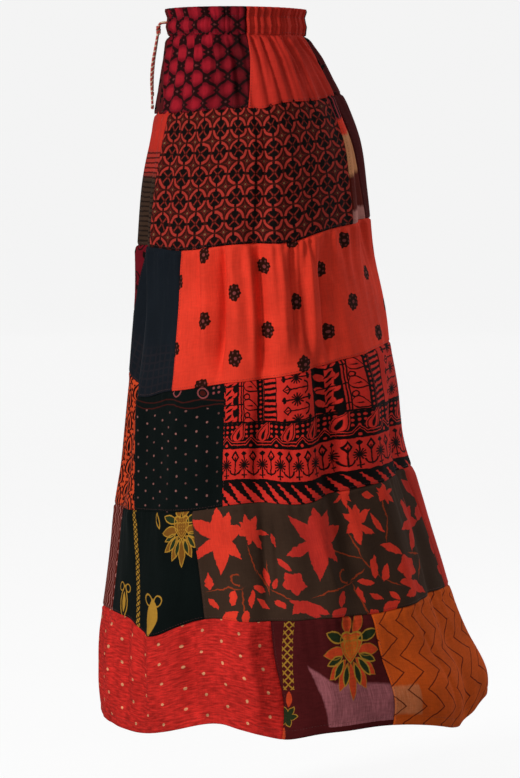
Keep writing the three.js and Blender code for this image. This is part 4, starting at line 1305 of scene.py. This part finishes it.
class SKIRT_OT_drawstring(bpy.types.Operator):
    """The two ends of the drawstring, their knots and the tie between them"""
    bl_idname = "skirt.drawstring"
    bl_label = "Drawstring"

    def execute(self, context):
        material = cord_material(context.scene.skirt_colours)
        tie = self.knot("drawstring_tie", KNOT, 1.75, 1.7, 1.35, material)
        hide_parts("drawstring_knot")
        ends = {"left": CORD_LEFT, "right": CORD_RIGHT}
        for side, route in ends.items():
            places = through_points(route, 31) / 1000
            cord = tube(f"drawstring_cord_{side}", places, CORD / 2000, material)
            x, y, z = route[-1]
            knot = self.knot(f"drawstring_knot_{side}", (x, y, z - 3.2), 0.72, 0.9, 1.1, material)
            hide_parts(f"drawstring_{side}")
            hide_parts(f"drawstring_end_{side}")
            for thing in (cord, knot):
                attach(thing, "root")
        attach(tie, "root")
        return {"FINISHED"}

    def knot(self, name, middle, size, flat, radius, material):
        thing = tube(name, knot_points(middle, size, flat) / 1000, radius / 1000, material)
        thing.data.splines[0].use_cyclic_u = True
        return thing


class SKIRT_OT_tier(bpy.types.Operator):
    """The patches of one tier, each a sheet of printed cloth sewn to its neighbours"""
    bl_idname = "skirt.tier"
    bl_label = "Tier"
    tier: bpy.props.StringProperty(name="Tier", description="Name of the tier", default="yoke")

    def execute(self, context):
        colours = context.scene.skirt_colours
        patches = PATCHES[self.tier]
        built = [patch_surface(self.tier, number) for number in range(len(patches))]
        for number, (points, flat, size) in enumerate(built):
            cloth = patches[number][2]
            name = f"{self.tier}_{number + 1}_{cloth}"
            patch = grid_object(f"cloth_{name}", points, flat)
            patch.data.materials.append(cloth_material(cloth, colours))
            wall = patch.modifiers.new("Cloth", "SOLIDIFY")
            wall.thickness = context.scene.skirt_sizes.cloth
            wall.offset = -1
            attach(patch, "root")
            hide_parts(name)
        return {"FINISHED"}


class SKIRT_OT_stitches(bpy.types.Operator):
    """Running stitches beside every seam, along the band and round the hem"""
    bl_idname = "skirt.stitches"
    bl_label = "Stitches"

    def execute(self, context):
        sizes = context.scene.skirt_sizes
        tree = self.tree(thread_material(context.scene.skirt_colours))
        names = {item.name: item.identifier for item in tree.interface.items_tree}
        for tier in TIERS:
            thing = self.lines(f"stitches_{tier}", tier)
            sewn = thing.modifiers.new("Stitches", "NODES")
            sewn.node_group = tree
            sewn[names["Pitch"]] = sizes.pitch
            sewn[names["Length"]] = sizes.stitch
            sewn[names["Thread"]] = sizes.thread
            sewn[names["Seed"]] = STITCH_SEED
            graph = context.evaluated_depsgraph_get()
            mesh = bpy.data.meshes.new_from_object(thing.evaluated_get(graph))
            thing.modifiers.remove(sewn)
            bpy.data.objects.remove(thing)
            made = bpy.data.objects.new(f"stitches_{tier}", mesh)
            context.scene.collection.objects.link(made)
            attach(made, "root")
        return {"FINISHED"}

    def lines(self, name, tier):
        """A curve for each row of stitches, just proud of the cloth"""
        curve = bpy.data.curves.new(name, "CURVE")
        curve.dimensions = "3D"
        upper, lower = TIERS[tier]["upper"], TIERS[tier]["lower"]
        angle = np.linspace(0, 360, 720)
        rows = [seam_height(lower, angle) + (10 if tier == "hem" else 2.6)]
        if tier == "band":
            rows.append(seam_height(upper, angle) - 11)
        for z in rows:
            away = np.full_like(z, 99)
            self.row(curve, cloth_point(angle, z, cloth_push(tier, angle, z, away) + PROUD))
        share = np.linspace(0.03, 0.97, 60)
        for start, foot, cloth in PATCHES[tier]:
            angle = start + (foot - start) * share
            top = seam_height(upper, angle)
            z = top + (seam_height(lower, angle) - top) * share
            angle = angle + np.degrees(BESIDE / outline_at(LEFT, z))
            beside = np.full_like(z, BESIDE)
            self.row(curve, cloth_point(angle, z, cloth_push(tier, angle, z, beside) + PROUD))
        thing = bpy.data.objects.new(name, curve)
        bpy.context.scene.collection.objects.link(thing)
        return thing

    def row(self, curve, points):
        spline = curve.splines.new("POLY")
        spline.points.add(len(points) - 1)
        for point, place in zip(spline.points, points):
            point.co = (*place, 1)

    def tree(self, material):
        """Stitches set along curves, each turned and sized a little differently"""
        tree = bpy.data.node_groups.new("Running stitches", "GeometryNodeTree")
        tree.interface.new_socket("Lines", in_out="INPUT", socket_type="NodeSocketGeometry")
        for name in ("Pitch", "Length", "Thread"):
            tree.interface.new_socket(name, in_out="INPUT", socket_type="NodeSocketFloat")
        tree.interface.new_socket("Seed", in_out="INPUT", socket_type="NodeSocketInt")
        tree.interface.new_socket("Stitches", in_out="OUTPUT", socket_type="NodeSocketGeometry")
        given = add(tree, "NodeGroupInput").outputs
        places = add(tree, "GeometryNodeCurveToPoints", {
            "Curve": given["Lines"], "Length": given["Pitch"]}, mode="LENGTH")
        bead = add(tree, "GeometryNodeMeshIcoSphere", {"Radius": 0.5, "Subdivisions": 1})
        size = add(tree, "ShaderNodeCombineXYZ", (given["Thread"], given["Thread"], given["Length"]))
        uneven = add(tree, "FunctionNodeRandomValue", {2: 0.85, 3: 1.12, "Seed": given["Seed"]})
        size = add(tree, "ShaderNodeVectorMath", {
            0: size.outputs[0], 3: uneven.outputs[1]}, operation="SCALE")
        sewn = add(tree, "GeometryNodeInstanceOnPoints", {
            "Points": places.outputs["Points"], "Instance": bead.outputs["Mesh"],
            "Rotation": places.outputs["Rotation"], "Scale": size.outputs[0]})
        real = add(tree, "GeometryNodeRealizeInstances", {"Geometry": sewn.outputs[0]})
        dressed = add(tree, "GeometryNodeSetMaterial", {
            "Geometry": real.outputs[0], "Material": material})
        add(tree, "NodeGroupOutput", {"Stitches": dressed.outputs[0]})
        return tree


class SKIRT_PT_panel(bpy.types.Panel):
    """Sizes, colours and pieces of the skirt"""
    bl_label = "Patchwork skirt"
    bl_space_type = "VIEW_3D"
    bl_region_type = "UI"
    bl_category = "Skirt"

    def draw(self, context):
        layout = self.layout
        for name in SkirtSizes.__annotations__:
            layout.prop(context.scene.skirt_sizes, name)
        for name in PALETTE:
            layout.prop(context.scene.skirt_colours, name)
        layout.operator("skirt.stage")
        layout.operator("skirt.drawstring")
        for tier in TIERS:
            layout.operator("skirt.tier", text=tier.capitalize()).tier = tier
        layout.operator("skirt.stitches")


CLASSES = (SkirtSizes, SkirtColours, SKIRT_OT_stage, SKIRT_OT_drawstring, SKIRT_OT_tier,
           SKIRT_OT_stitches, SKIRT_PT_panel)


def register():
    for item in CLASSES:
        bpy.utils.register_class(item)
    bpy.types.Scene.skirt_sizes = bpy.props.PointerProperty(type=SkirtSizes)
    bpy.types.Scene.skirt_colours = bpy.props.PointerProperty(type=SkirtColours)


def unregister():
    del bpy.types.Scene.skirt_colours
    del bpy.types.Scene.skirt_sizes
    for item in reversed(CLASSES):
        bpy.utils.unregister_class(item)


def main():
    register()
    bpy.ops.skirt.stage()
    bpy.ops.skirt.drawstring()
    for tier in TIERS:
        bpy.ops.skirt.tier(tier=tier)
    bpy.ops.skirt.stitches()


if __name__ == "__main__":
    main()
